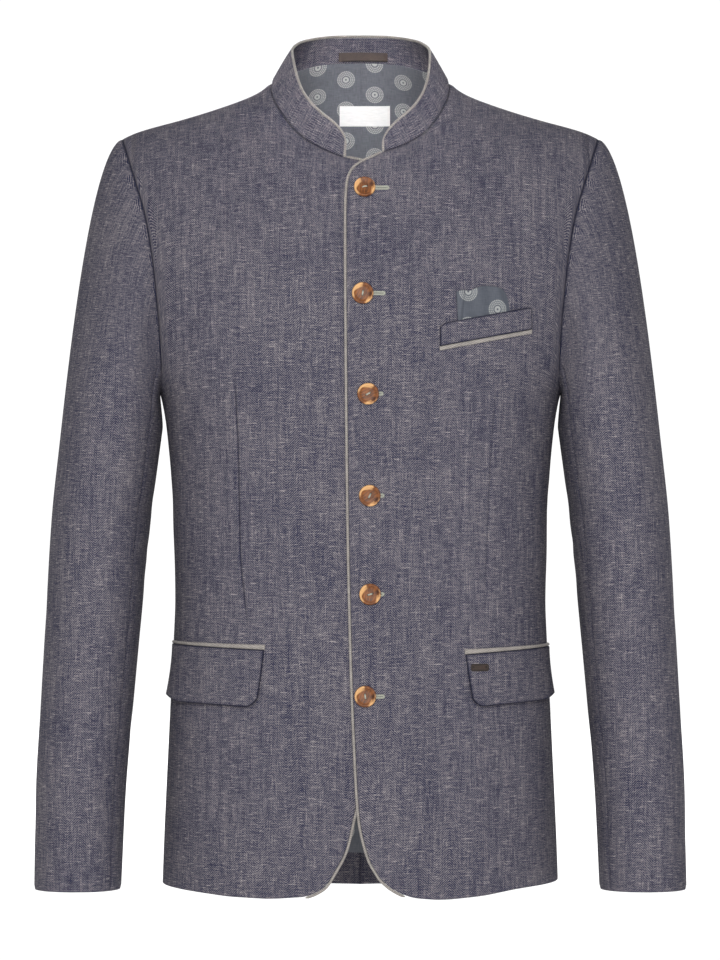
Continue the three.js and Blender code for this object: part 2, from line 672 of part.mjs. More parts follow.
function armholeFrame(k) {
  const steps = FRONT_STEPS.armhole;
  const front = k <= steps;
  const half = front ? HALVES.front : HALVES.back;
  const line = front ? frontArmhole : backArmhole;
  const t = front ? 1 - k / steps : (k - steps) / steps;
  const at = (value) => {
    const [turn, height] = unroll(half, line(THREE.MathUtils.clamp(value, 0, 1)));
    return panelPoint({ name: 'plain' }, half, turn, height, 0);
  };
  const { point, normal } = at(t);
  const along = at(t + 0.02).point.sub(at(t - 0.02).point).normalize();
  if (t === 0 || t === 1) {
    point.y = 0;
    normal.setY(0).normalize();
    along.set(0, 1, 0);
  }
  const away = along.clone().cross(normal).normalize();
  if (away.dot(ARMHOLE_MIDDLE.clone().sub(point)) < 0) away.negate();
  return { point, normal, away };
}

function sleeveRing(turn, z) {
  const middle = (sleeveOuter(z) + sleeveInner(z)) / 2;
  const reach = (sleeveOuter(z) - sleeveInner(z)) / 2;
  const power = 2 / SLEEVE_ROUNDNESS;
  const c = Math.cos(turn);
  const s = Math.sin(turn);
  return new THREE.Vector3(
    middle + reach * Math.sign(c) * Math.abs(c) ** power,
    -sleeveSwing(z) - sleeveDepth(z) * Math.sign(s) * Math.abs(s) ** power,
    z,
  );
}

function capPoint(frame, degrees, t) {
  const turn = degrees <= 180 ? degrees : 360 - degrees;
  const flip = degrees <= 180 ? 1 : -1;
  const leaving = new THREE.Vector3(cap.x(turn), flip * cap.y(turn), cap.z(turn)).normalize();
  leaving.multiplyScalar(cap.start(turn));
  const clear = SEAM_GAP + SLEEVE_CLEAR + UNDERARM_CLEAR * smoothStep(45, 110, turn);
  const from = frame.point.clone().addScaledVector(frame.away, clear);
  from.addScaledVector(frame.normal, clear / 2);
  const radians = THREE.MathUtils.degToRad(degrees);
  const to = sleeveRing(radians, SLEEVE_TOP_Z);
  const slope = sleeveRing(radians, SLEEVE_TOP_Z - 10).sub(to).normalize().multiplyScalar(cap.end(turn));
  return new THREE.Vector3(...['x', 'y', 'z'].map((a) => hermite(t, from[a], leaving[a], to[a], slope[a])));
}

function sleevePoint(frame, degrees, row) {
  const { cap: capSteps, arm } = SLEEVE_STEPS;
  if (row <= capSteps) return capPoint(frame, degrees, row / capSteps);
  const z = THREE.MathUtils.lerp(SLEEVE_TOP_Z, CUFF_Z, (row - capSteps) / arm);
  const point = sleeveRing(THREE.MathUtils.degToRad(degrees), z);
  let depth = 0;
  for (const fold of SLEEVE_FOLDS) {
    const around = ((degrees - fold.turn + 540) % 360) - 180;
    const off = z - fold.z - fold.lean * around;
    depth += fold.depth * Math.exp(-((around / fold.sweep) ** 2) - (off / fold.width) ** 2);
  }
  const middle = new THREE.Vector3((sleeveOuter(z) + sleeveInner(z)) / 2, -sleeveSwing(z), z);
  return point.addScaledVector(point.clone().sub(middle).normalize(), -depth);
}

function sleeveGrid(fromStep, toStep) {
  const rows = SLEEVE_STEPS.cap + SLEEVE_STEPS.arm;
  const grid = [];
  const stepTurn = 360 / SLEEVE_AROUND;
  const frames = [];
  for (let k = 0; k < SLEEVE_AROUND; k += 1) frames.push(armholeFrame(k));
  const pointAt = (k, nudge, i) => {
    const step = (k + SLEEVE_AROUND) % SLEEVE_AROUND;
    return sleevePoint(frames[step], (step * stepTurn + nudge + 360) % 360, i);
  };
  for (let i = 0; i <= rows; i += 1) {
    const row = [];
    for (let k = fromStep; k <= toStep; k += 1) {
      const nudge = k === fromStep ? SEAM_TURN : (k === toStep ? -SEAM_TURN : 0);
      const outer = pointAt(k, nudge, i);
      const side = pointAt(k + 1, nudge, i).sub(pointAt(k - 1, nudge, i));
      const down = pointAt(k, nudge, Math.min(i + 0.5, rows)).sub(pointAt(k, nudge, Math.max(i - 0.5, 0)));
      const normal = side.cross(down).normalize();
      row.push({ outer, inner: outer.clone().addScaledVector(normal, -CLOTH), normal });
    }
    grid.push(row);
  }
  return grid;
}

// Collar: the neckline's own points below, the piped top line above
function collarGrid(fronts, back) {
  const topOf = (panel, count) => panel[panel.length - 1].slice(0, count + 1);
  const neckOf = (panel) => {
    const last = panel.length - 1;
    const rising = panel.slice(last - FRONT_STEPS.neckFront, last).map((row) => row[0]);
    return [...rising, ...topOf(panel, FRONT_STEPS.neckSide)].map((cell) => cell.outer.clone());
  };
  const right = neckOf(fronts.right).map((p) => mirror(p, -1));
  const left = neckOf(fronts.left);
  const backHalf = topOf(back, BACK_STEPS.neck).map((cell) => cell.outer.clone());
  const base = [
    ...right, ...backHalf.slice(0, -1).reverse().map((p) => mirror(p, -1)),
    ...backHalf.slice(1, -1), ...left.slice().reverse(),
  ];
  const line = trace(COLLAR_TOP);
  const half = (base.length - 1) / 2;
  const lengths = [0];
  for (let k = 1; k < base.length; k += 1) lengths.push(lengths[k - 1] + base[k].distanceTo(base[k - 1]));
  const total = lengths[lengths.length - 1];
  const grid = [];
  for (let i = 0; i <= COLLAR_STEPS; i += 1) {
    grid.push(base.map((foot, k) => {
      const run = lengths[k] / total;
      const sign = run < 0.5 ? -1 : 1;
      const along = 1 - Math.abs(1 - 2 * run);
      const at = line(along);
      const shift = NECK_CENTRE_X * (1 - smoothStep(0.0, 0.75, along));
      const top = new THREE.Vector3(sign * at.x + shift, at.y, at.z);
      const rise = top.clone().sub(foot);
      const trim = 1 - PIPING_WIDTH / rise.length();
      const up = rise.clone().normalize();
      const before = base[Math.max(k - 1, 0)];
      const after = base[Math.min(k + 1, base.length - 1)];
      const outward = after.clone().sub(before).cross(up).normalize();
      if (outward.dot(new THREE.Vector3(foot.x, foot.y, 0)) < 0) outward.negate();
      const share = i / COLLAR_STEPS;
      const start = foot.clone().addScaledVector(up, SEAM_GAP + COLLAR_LIFT);
      const reach = rise.length() * trim - SEAM_GAP;
      const roll = COLLAR_OUT + COLLAR_ROLL * Math.sin(Math.PI * share);
      const outer = start.addScaledVector(up, reach * share).addScaledVector(outward, roll);
      return { outer, inner: outer.clone().addScaledVector(outward, -COLLAR_CLOTH), normal: outward, up };
    }));
  }
  return { grid, half };
}

// Small pieces that lie on a front
function patch(name, side, corners, steps, lift, cloth, kind) {
  const grid = [];
  for (let i = 0; i <= steps[1]; i += 1) {
    const row = [];
    for (let j = 0; j <= steps[0]; j += 1) {
      const at = corners(j / steps[0], i / steps[1]);
      const { point, normal } = frontPoint(side, at.x, at.z, lift + (at.lift ?? 0));
      const outer = point.clone().addScaledVector(normal, cloth);
      row.push({ inner: mirror(point, side.sign), outer: mirror(outer, side.sign) });
    }
    grid.push(row);
  }
  return wall(name, grid, kind);
}

function flapShape(flap) {
  const { width, inner, outer } = FLAP_CORNER;
  return (u, v) => {
    const down = 1 - v;
    const x = THREE.MathUtils.lerp(THREE.MathUtils.lerp(flap.innerX, flap.footX, down), flap.outerX, u);
    const top = THREE.MathUtils.lerp(flap.innerZ, flap.outerZ, u);
    const innerRound = inner * Math.max(1 - u / width, 0) ** 2;
    const outerRound = outer * Math.max(1 - (1 - u) / width, 0) ** 2;
    const fall = flap.drop * down * (1 - innerRound - outerRound);
    return { x, z: top - fall, lift: FLAP_SPRING * down * down };
  };
}

function pipingOn(name, side, from, to, lift, steps) {
  const points = [];
  for (let k = 0; k <= steps; k += 1) {
    const t = k / steps;
    const x = THREE.MathUtils.lerp(from.x, to.x, t);
    const z = THREE.MathUtils.lerp(from.z, to.z, t);
    points.push(mirror(frontPoint(side, x, z, lift).point, side.sign));
  }
  return cord(name, points, steps);
}

// Piping along the hem's front corner, up the front edge and round the top corner to the collar
function edgePiping(name, side, panel) {
  const lastRow = panel.length - 1 - FRONT_STEPS.neckFront;
  const run = [];
  for (let j = HEM_PIPING_STEPS; j > 0; j -= 1) run.push([panel[0][j], panel[1][j]]);
  for (let i = 0; i < lastRow; i += 1) run.push([panel[i][0], panel[Math.max(i, 1)][1]]);
  const points = run.map(([cell, inside], k) => {
    const before = run[Math.max(k - 1, 0)][0];
    const after = run[Math.min(k + 1, run.length - 1)][0];
    const off = after.outer.clone().sub(before.outer).normalize().cross(cell.normal).normalize();
    if (off.dot(cell.outer.clone().sub(inside.outer)) < 0) off.negate();
    const middle = cell.outer.clone().add(cell.inner).multiplyScalar(0.5);
    return mirror(middle.addScaledVector(off, PIPING_RADIUS + EDGE_PIPING_OFF), side.sign);
  });
  return cord(name, points, EDGE_PIPING_CUTS);
}

function collarPiping(collar) {
  const top = collar.grid[collar.grid.length - 1];
  const points = top.map((cell) => cell.outer.clone().add(cell.inner).multiplyScalar(0.5)
    .addScaledVector(cell.up, PIPING_RADIUS + COLLAR_PIPING_OFF));
  return cord('piping_collar', points, COLLAR_PIPING_CUTS);
}

function button(row, number) {
  const r = BUTTON_RADIUS;
  const t = BUTTON_THICKNESS;
  const profile = BUTTON_PROFILE.map((at) => new THREE.Vector2(at.out * r, at.up * t));
  const mesh = new THREE.Mesh(new THREE.LatheGeometry(profile, BUTTON_SIDES), material('horn'));
  const { point, normal } = frontPoint(SIDES.left, row.x, row.z, BUTTON_LIFT);
  mesh.name = `button_${number}`;
  mesh.position.copy(point);
  mesh.quaternion.setFromUnitVectors(new THREE.Vector3(0, 1, 0), normal);
  return mesh;
}

function hangerLoop(collar) {
  const grid = [];
  const inside = (share, x) => {
    const level = share * COLLAR_STEPS;
    const i = Math.min(Math.floor(level), COLLAR_STEPS - 1);
    const ends = [collar.grid[i], collar.grid[i + 1]].map((row) => {
      const nearBack = (n) => n > collar.half - LOOP_COLLAR_STEPS;
      const k = row.findIndex((cell, n) => nearBack(n) && cell.inner.x <= x && row[n + 1].inner.x >= x);
      const [a, b] = [row[k].inner, row[k + 1].inner];
      return a.clone().lerp(b, (x - a.x) / (b.x - a.x));
    });
    return ends[0].lerp(ends[1], level - i);
  };
  for (const share of [LOOP.from, LOOP.to]) {
    const row = [];
    for (let k = 0; k <= TAPE_STEPS; k += 1) {
      const point = inside(share, LOOP.x + LOOP.width * (k / TAPE_STEPS - 0.5));
      row.push({
        outer: point.clone().setY(point.y - PATCH_LIFT),
        inner: point.clone().setY(point.y - PATCH_LIFT - LOOP.cloth),
      });
    }
    grid.push(row);
  }
  return wall('hanger_loop', grid, 'leather');
}

function blankLabel() {
  const inward = -(CLOTH + LINING_GAP + LINING + 2 * PATCH_LIFT);
  const grid = [];
  for (const v of [-0.5, 0.5]) {
    const row = [];
    for (let k = 0; k <= TAPE_STEPS; k += 1) {
      const x = LABEL.x + LABEL.width * (k / TAPE_STEPS - 0.5);
      const [turn, height] = unroll(HALVES.back, { x: Math.abs(x), z: LABEL.z + v * LABEL.height });
      const { point, normal } = panelPoint({ name: 'plain' }, HALVES.back, turn, height, inward);
      row.push({
        outer: mirror(point, Math.sign(x)),
        inner: mirror(point.clone().addScaledVector(normal, -LABEL.cloth), Math.sign(x)),
      });
    }
    grid.push(row);
  }
  return wall('blank_label', grid, 'label');
}

const jacket = new THREE.Group();
const backPanel = panelGrid({ name: 'plain' }, HALVES.back, backLines(), BACK_STEPS);
const backLining = liningGrid(backPanel);
const fronts = {};

for (const side of Object.values(SIDES)) {
  const { name, sign, cut } = side;
  fronts[name] = panelGrid(side, HALVES.front, frontLines(cut), FRONT_STEPS);
  jacket.add(wall(`front_${name}`, mirrored(fronts[name], sign), 'cloth'));
  jacket.add(wall(`back_${name}`, mirrored(backPanel, sign), 'cloth'));
  jacket.add(wall(`lining_back_${name}`, backLining.map((row) => row.map((cell) => ({
    outer: mirror(cell.outer, sign), inner: mirror(cell.inner, sign),
  }))), 'lining'));
  jacket.add(edgePiping(`piping_front_${name}`, side, fronts[name]));

  const under = sleeveGrid(FRONT_SEAM_STEP, BACK_SEAM_STEP);
  const upper = sleeveGrid(BACK_SEAM_STEP - SLEEVE_AROUND, FRONT_SEAM_STEP);
  jacket.add(wall(`sleeve_${name}_under`, mirrored(under, sign), 'cloth'));
  jacket.add(wall(`sleeve_${name}_upper`, mirrored(upper, sign), 'cloth'));

  const flap = FLAPS[name];
  jacket.add(patch(`flap_${name}`, side, flapShape(flap), [12, 3], PATCH_LIFT, CLOTH, 'cloth'));
  const above = PIPING_RADIUS + PATCH_PIPING_OFF;
  jacket.add(pipingOn(`flap_piping_${name}`, side, { x: flap.innerX, z: flap.innerZ + above },
    { x: flap.outerX, z: flap.outerZ + above }, PIPING_RADIUS + PATCH_LIFT, 14));
}

const collar = collarGrid(fronts, backPanel);
jacket.add(wall('collar', collar.grid, 'cloth'));
jacket.add(collarPiping(collar));

const weltTop = (u) => THREE.MathUtils.lerp(WELT.innerZ, WELT.outerZ, u) + WELT.height;
jacket.add(patch('breast_welt', SIDES.left, (u, v) => ({
  x: THREE.MathUtils.lerp(WELT.innerX, WELT.outerX, u),
  z: THREE.MathUtils.lerp(WELT.innerZ, WELT.outerZ, u) + WELT.height * v,
}), [9, 2], PATCH_LIFT, CLOTH, 'cloth'));
jacket.add(pipingOn('breast_welt_piping', SIDES.left,
  { x: WELT.innerX, z: WELT.innerZ - PIPING_RADIUS - PATCH_PIPING_OFF },
  { x: WELT.outerX, z: WELT.outerZ - PIPING_RADIUS - PATCH_PIPING_OFF }, PIPING_RADIUS + PATCH_LIFT, 10));

jacket.add(patch('pocket_square', SIDES.left, (u, v) => {
  const x = THREE.MathUtils.lerp(SQUARE.innerX, SQUARE.outerX, u);
  const foot = weltTop((x - WELT.innerX) / (WELT.outerX - WELT.innerX)) + SEAM_GAP;
  const wave = SQUARE.wave * Math.sin(SQUARE.waves * Math.PI * u) - SQUARE.fall * u;
  const puff = SQUARE.puff * Math.sin(Math.PI * u) ** 2 * v;
  return { x: x - SQUARE.lean * v, z: foot + (SQUARE.rise + wave) * v, lift: puff };
}, [10, 3], PATCH_LIFT, SQUARE.cloth, 'lining'));

jacket.add(patch('flap_tab', SIDES.left, (u, v) => {
  const z = TAB.z + TAB.height * (v - 0.5);
  const down = (FLAPS.left.innerZ - z) / FLAPS.left.drop;
  return { x: TAB.x + TAB.width * (u - 0.5), z, lift: FLAP_SPRING * down * down };
}, [3, 1], PATCH_LIFT + CLOTH + TAB.lift, TAB.cloth, 'leather'));

BUTTONS.forEach((row, k) => jacket.add(button(row, k + 1)));
jacket.add(hangerLoop(collar));
jacket.add(blankLabel());

export default jacket;
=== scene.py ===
import math

import bmesh
import bpy
import numpy as np
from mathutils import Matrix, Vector


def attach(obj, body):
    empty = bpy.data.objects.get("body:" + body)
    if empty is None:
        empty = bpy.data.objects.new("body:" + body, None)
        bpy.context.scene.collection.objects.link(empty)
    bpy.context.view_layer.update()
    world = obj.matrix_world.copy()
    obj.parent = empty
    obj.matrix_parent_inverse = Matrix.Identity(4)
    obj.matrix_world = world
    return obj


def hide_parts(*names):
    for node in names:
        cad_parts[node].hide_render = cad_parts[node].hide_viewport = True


bl_info = {
    "name": "Stand-collar jacket",
    "version": (1, 0, 0),
    "blender": (4, 5, 0),
    "location": "View3D > Sidebar > Jacket",
    "description": "Dresses a hollow stand-collar jacket in herringbone cloth, lining, piping and horn buttons",
    "category": "Object",
}

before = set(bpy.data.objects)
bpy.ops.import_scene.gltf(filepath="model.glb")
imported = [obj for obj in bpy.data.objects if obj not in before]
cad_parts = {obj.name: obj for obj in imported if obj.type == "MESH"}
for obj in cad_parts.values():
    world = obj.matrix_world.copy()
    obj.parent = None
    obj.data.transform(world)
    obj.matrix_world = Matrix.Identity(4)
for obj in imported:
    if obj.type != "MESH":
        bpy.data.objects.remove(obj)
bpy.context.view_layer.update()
MM = 0.001

# The jacket's own form. Sizes down to the creases are in millimetres and turns in degrees, with X to the
# wearer's left, Y to the back and Z up
BODY = np.array([
    # height, half width, front depth, back depth
    (-716, 176.2, 128, 128), (-666, 174.5, 127, 128), (-600, 171.5, 124, 125), (-541, 168.6, 120, 117),
    (-488, 166.0, 117, 110), (-450, 164.6, 116, 107), (-400, 165.3, 116.5, 109), (-345, 168.2, 118.5, 116),
    (-300, 172.2, 121, 123), (-275, 176.4, 122, 127), (-268, 178.5, 122.2, 128), (-262, 181.8, 122.4, 128.6),
    (-250, 187.0, 122.8, 130), (-234, 192.4, 123.2, 131.5), (-205, 198.0, 123.5, 133.5),
    (-190, 202.0, 123.5, 134), (-140, 211.0, 123.5, 134), (-93, 221.0, 123.5, 134), (-59, 229.0, 123.5, 134),
    (-30, 235.0, 123.5, 134), (80, 240.0, 123.5, 134),
], float)
CHEST_Z = -190.0
UNDERARM_Z = -268.0
# Each half's ridge over the shoulder, and every cut line after it, as places x, z seen from the front
SHOULDER_RIDGE = [(79, 8), (87, 1.5), (96, -3.5), (124, -14.2), (159, -25), (197, -35.6), (212, -42),
                  (230, -52)]
RIDGES = {
    "front": [(0, 17), (40, 16), (60, 14), (72, 11)] + SHOULDER_RIDGE,
    "back": [(0, 77), (20, 71.8), (40, 57.5), (60, 34), (72, 18.4)] + SHOULDER_RIDGE,
}
CUTS = {
    "left": {
        "edge": [(14.9, -692), (5.2, -674.5), (-3.2, -637.4), (-6.3, -588), (-9.9, -495), (-12.8, -350),
                 (-14.5, -110), (-13.4, -89), (-11, -77.7), (-5.9, -70.7)],
        "corner": [(-5.9, -70.7), (2.1, -65.2), (12, -61.7), (21.2, -59)],
        "neck_front": [(21.2, -59), (28, -56.8), (38.5, -52.6), (49, -46.8)],
        "neck_side": [(49, -46.8), (58.6, -39.3), (70.7, -22.2), (77.5, -8.2), (79.5, 1.5), (79, 8)],
        "hem": [(14.9, -692), (25.6, -701.7), (36.2, -707), (49.4, -710), (62.7, -710.3), (101.7, -708),
                (140.6, -702.6), (176, -700)],
    },
    "right": {
        "edge": [(24.9, -694.7), (10.7, -668), (3.2, -637.4), (-5.5, -600), (-18, -530), (-25.3, -432),
                 (-26, -350), (-21.9, -110), (-20.5, -89), (-18.3, -79.5), (-13.2, -71.5)],
        "corner": [(-13.2, -71.5), (-8, -66), (-2.1, -63.7), (5, -62.8), (15.1, -62.5)],
        "neck_front": [(15.1, -62.5), (21.7, -59.8), (32.6, -55.4), (43.5, -49.4)],
        "neck_side": [(43.5, -49.4), (54.6, -41.2), (69.2, -22.6), (77, -8.2), (79.5, 1.5), (79, 8)],
        "hem": [(24.9, -694.7), (30.2, -701), (40.8, -707), (52.4, -709.4), (65.4, -709.5), (111, -708.5),
                (138, -706.3), (176, -703)],
    },
}
BACK_NECK = [(0, 30), (20, 29.5), (40, 27), (60, 20.5), (72, 14.5), (79, 8)]
BACK_HEM = [(0, -714), (60, -712.5), (110, -709), (150, -705), (176, -701.5)]
ARMHOLES = {
    "front": [(178.5, -268), (178, -266), (177, -262), (175.5, -250), (176, -235), (177.8, -206), (182, -160),
              (189.3, -115), (200.5, -77), (206, -60), (212, -42)],
    "back": [(178.5, -268), (178.8, -262), (180.5, -243), (183, -220), (187, -165), (195, -105), (201, -80),
             (207, -60), (212, -42)],
}
ARMHOLE_MIDDLE = np.array([186.0, 0, -160])
SLEEVE = np.array([
    # height, outer x, inner x, half depth, forward swing
    (-706, 288, 211.4, 52, 36), (-620, 287, 207.5, 56, 27), (-541, 283, 201.1, 61, 17),
    (-452, 278.5, 193.1, 67, 7), (-381, 274.5, 186.4, 72, 2), (-300, 266, 176, 76, 0),
], float)
SLEEVE_TOP_Z = -300.0
CUFF_Z = -706.0
CAP = np.array([
    # turn, leaving x, y, z, length of the start, length of the end
    (0, 1, 0, -0.35, 90, 150), (45, 0.95, -0.28, -0.3, 80, 130), (90, 0.75, -0.6, -0.35, 60, 100),
    (135, 0.55, -0.55, -0.65, 42, 55), (180, -0.1, 0, -0.99, 22, 12),
], float)
# The collar's top line, as x, y, z from the front end to the middle of the back
COLLAR_TOP = [
    (16.9, -82, -44.2), (20, -81, -38), (27.1, -79, -29.9), (37.2, -74, -21.5), (46.3, -66, -12), (54, -53, 1),
    (58.2, -38, 15.3), (60.6, -18, 29), (61.7, 6, 39), (56, 35, 47.5), (42, 58, 53), (21, 70, 56), (0, 74, 56.5),
]
NECK_CENTRE_X = 3.65
COLLAR = {"centre_fade": 0.75, "foot_gap": 0.15, "top_gap": 0.3, "bulge": 1.2, "roll": 0.35, "roll_at": 0.12,
          "roll_span": 0.1}
COLLAR_ROWS = np.concatenate([[0, 0.012, 0.035], np.linspace(0.06, 1, 18)])
FLAPS = {
    "left": {"inner": 91.5, "foot": 96.0, "outer": 165.5, "inner_z": -497.5, "outer_z": -492.5, "drop": 46,
             "spring": 2.4},
    "right": {"inner": 83.6, "foot": 87.9, "outer": 164.5, "inner_z": -493.5, "outer_z": -490, "drop": 50,
              "spring": 3.4},
}
# How far a flap's corners are rounded, and how far it stands off at its foot, inner corner and outer end
FLAP_CORNER = {"inner": 0.16, "outer": 0.1, "span": 0.14}
FLAP_STAND = {"foot": 2.4, "corner": 1.4, "wave": 0.5, "spring_from": 0.72}
FLAP_PIPING = {"past": 0.6, "above": 0.2, "taper": 0.45, "lift": 0.15, "thickness": 2.1, "round": 2.0}
WELT = {"inner": 69, "outer": 149.5, "inner_z": -229, "outer_z": -213.5, "height": 19.5, "puff": 0.7}
WELT_CORNERS = {"inner": (2.6, 0.09), "outer": (1.2, 0.06)}
WELT_PIPING = {"past": 0.3, "below": 0.2, "lift": 0.15, "thickness": 1.9, "round": 1.8}
SQUARE = {"inner": 85, "outer": 130, "tucked": 7, "lean": 2, "raised": 0.2, "lift": 0.15, "thickness": 0.9,
          "round": 0.7}
SQUARE_TOP = [(85, -181.7), (90, -180.2), (96, -180.6), (103, -177.6), (109.4, -176.4), (116, -176.9),
              (123.3, -179), (127.7, -185.1), (130, -195.5)]
# The square's folded edge, its puff, the ripple over it and the ridge at its outer side
SQUARE_FOLD = {"x": 91.5, "z": -182, "lean": 3.5 / 24, "height": 1.1, "half_width": 0.8}
SQUARE_PUFF = {"x": 112, "half_width": 13, "height": 1.5}
SQUARE_RIPPLE = {"across": 0.42, "along": 0.06, "height": 0.6}
SQUARE_RIDGE = {"x": 122, "z": -185, "lean": 0.3, "half_width": 2.5, "height": 0.5}
TAB = {"x": 103, "z": -509, "width": 15.6, "height": 6.5, "above_flap": 2.15, "thickness": 0.8, "round": 0.6,
       "corner_from": 0.78, "corner": 0.8}
NEEDLE_HOLES = {"off": 5.6, "rise": 0.5, "radius": 0.9, "depth": 0.6}
PATCH_LIFT = 0.5
PATCH_RIM = 0.45
CLOTH_ROUND = 0.9
BUTTONS = [(3.8, -91.7), (2.1, -183.3), (6.7, -270.3), (8.1, -358.7), (8.4, -444.6), (4.3, -533.6)]
BUTTON_LIFT = 0.6
BUTTON_SIDES = 72
# Radius and height of a turned button's outline, as shares of its own
BUTTON_PROFILE = [(0.0, 0.0), (0.6, 0.0), (0.84, 0.04), (0.95, 0.16), (1.0, 0.36), (1.0, 0.62),
                  (0.975, 0.84), (0.93, 0.97), (0.88, 1.0), (0.82, 0.97), (0.75, 0.86), (0.66, 0.73),
                  (0.52, 0.67), (0.3, 0.66), (0.0, 0.66)]
BUTTON_SEAT = 0.66
BUTTON_HOLES = [0.2, 1.4, 0.5, 1.1, 0.3, 1.7]
HOLE_OFFSET = 1.9
HOLE_RADIUS = 0.85
HOLE_SIDES = 20
DRILL_LENGTH = 8
HORN_TURNS = [4.6, 4.1, 3.5, 3.7, 4.5, 4.2]  # radians, as are the turns of the holes
THREADS = {"shifts": (-0.4, 0.0, 0.4), "radius": 0.24, "rise": 0.32, "dive": 1.6, "past_hole": 0.25}
SLIT_ENDS = [24.6, 21.1, 19.3, 20.2, 20.2, 20.4]
SLIT_LIP = 1.0
SLIT_UNDER_BUTTON = 2.5
STITCH_LIFT = 0.32
STITCH = {"Spacing": 0.00064, "Stitch Length": 0.0017, "Thread Radius": 0.00036}
LOOP = {"x": 2.6, "width": 44, "from": 0.2, "to": 0.5, "slack": 0.35, "sag": 1.9, "sewn": 0.08,
        "thickness": 1.2, "round": 0.8}
LABEL = {"x": 4.3, "z": -13.7, "width": 47, "height": 18, "lift": 0.35, "thickness": 0.35, "puff": 0.35}
LINING = {"neck_reach": 7, "neck_lift": 0.6, "seam_draw": 0.45, "seam_reach": 1.6, "hem_sag": 0.5,
          "hem_reach": 5}
PIPING_GAP = 0.1
PIPING_ROOM = 0.2
PIPING_POINTS = {"front": 260, "collar": 300}
PIPING_SIDES = 12
PIPING_SHORT = 3
PIPING_SMOOTHED = 4
HEM_PIPED = 12
NARROWEST = 0.0101
DARTS = {
    "right": [(110.6, -251), (108.8, -280), (107, -315.4), (105.2, -405), (98.5, -478)],
    "left": [(120, -262), (115.5, -309), (112.8, -360), (111, -404.5), (108.4, -452)],
}
DART_DEPTH = {"right": 1.1, "left": 0.5}
# Shade painted along each dart's groove
PAINTED_DART_SHADE = {"right": 0.6, "left": 0.2}
DART_HALF_WIDTH = 0.8
DART_LINES = np.array([-0.8, -0.5, -0.3, -0.15, 0.0, 0.15, 0.3, 0.5, 0.8])
DART_REACH = 16.0
DART_MARGIN = 4
DART_CLEAR = 0.9
# Where a dart's groove fades at its low and high ends, and the cloth that rolls up beside it
DART_FADE = {"low": (-6, 30), "high": (4, -26)}
DART_ROLL = {"height": 0.3, "off": 3.5, "half_width": 2.2}

# Seams and free edges: how deep stitches draw the cloth in, over what reach, and how much shade is painted on
# the cloth there
SEAM_DIP = 0.7
SLEEVE_SEAM_DIP = 0.35
SEAM_REACH = 4.0
PAINTED_SEAM_SHADE = {"armhole": 1.0, "shoulder": 0.6, "neck": 0.35, "centre": 0.6, "sleeve": 0.35}
PAINTED_SHADE_REACH = 1.1
PAINTED_RIM_SHADE = 1.0
EDGE_ROUND = 0.85
EDGE_DRAWN = 0.9
NECK_POINT_X = 79.0
SHOULDER_TIP_X = 212.0
LAP = {"left": 3.0, "right": 0.0}
LAP_FADE = (34, 80)
HEM_CORNER = {"drop": 0.6, "ease": 3, "from": (0, 0.12), "to": (0.2, 0.42), "rise": 0.5}

# Steps of the coarse pattern, and how many fine cells each takes
FRONT_STEPS = {"corner": 2, "neck_front": 3, "neck_side": 5, "shoulder": 8, "side": 15, "armhole": 9}
BACK_STEPS = {"neck": 6, "shoulder": 6, "side": 13, "armhole": 9}
FINE = 6
NEAR = 1e-6
ROLL_ROUNDS = 24
RELAX_ROUNDS = 1600
RELAX_STEP = 0.9
TURN_RADIUS = 150.0
DEPTH_RATIO = 0.65
FRONT_SEAM_TURN = 140.0
BACK_SEAM_TURN = 260.0
TURN_STEP = 2.5
HEAD_STEPS = (0, 0.08, 0.2, 0.5)
CAP_ROWS, ARM_ROWS = 56, 104
TESTED_ROW = 80
SLEEVE_CLEAR = 0.02
SLEEVE_ROUND = 2.2
SLEEVE_CREASE_FADE = (-230, -330)
CREASE_SPAN = 0.6

# Creases pressed into each piece, with hollows positive and rolls negative
BODY_CREASES = {
    # x, z, run in x, run in z, half width, depth
    "front_right": [
        (148, -345, 26, -40, 12, 1.8), (152, -300, 18, -52, 7, 1.1), (160, -372, 8, -60, 9, -1.0),
        (60, -150, 46, -70, 22, -1.1), (128, -120, 30, -64, 12, 1.0), (150, -205, 16, -70, 9, 1.1),
        (70, -470, 60, 8, 16, 0.9), (40, -560, 14, -120, 14, -0.8), (120, -600, 6, -130, 16, 1.2),
        (30, -300, 30, -80, 18, 0.7),
    ],
    "front_left": [
        (150, -350, 24, -34, 12, 1.5), (153, -292, 16, -50, 7, 1.0), (158, -400, 10, -54, 10, -1.0),
        (72, -120, 40, -62, 20, -1.0), (134, -118, 26, -60, 11, 1.0), (152, -190, 12, -74, 9, 1.2),
        (66, -440, 58, -10, 17, 0.9), (48, -580, 12, -124, 16, -0.9), (128, -610, 4, -120, 15, 1.1),
    ],
    "back_right": [
        (95, -430, 70, 16, 15, 2.2), (60, -395, 60, 22, 13, 1.4), (120, -470, 46, 14, 12, -1.2),
        (150, -300, 22, -64, 10, 1.6), (130, -160, 16, -88, 13, 1.5), (84, -80, 60, -30, 16, 1.0),
        (70, -600, 14, -140, 20, 1.4), (135, -610, 6, -120, 15, -1.2), (40, -250, 40, 16, 20, 0.9),
    ],
    "back_left": [
        (92, -440, 66, 20, 14, 2.0), (56, -405, 56, 16, 12, 1.5), (118, -482, 44, 10, 13, -1.1),
        (152, -310, 20, -60, 11, 1.5), (128, -170, 18, -84, 12, 1.4), (86, -86, 56, -26, 17, 1.0),
        (76, -590, 10, -130, 19, 1.3), (138, -600, 8, -110, 14, -1.2), (44, -240, 38, 20, 20, 0.8),
    ],
}
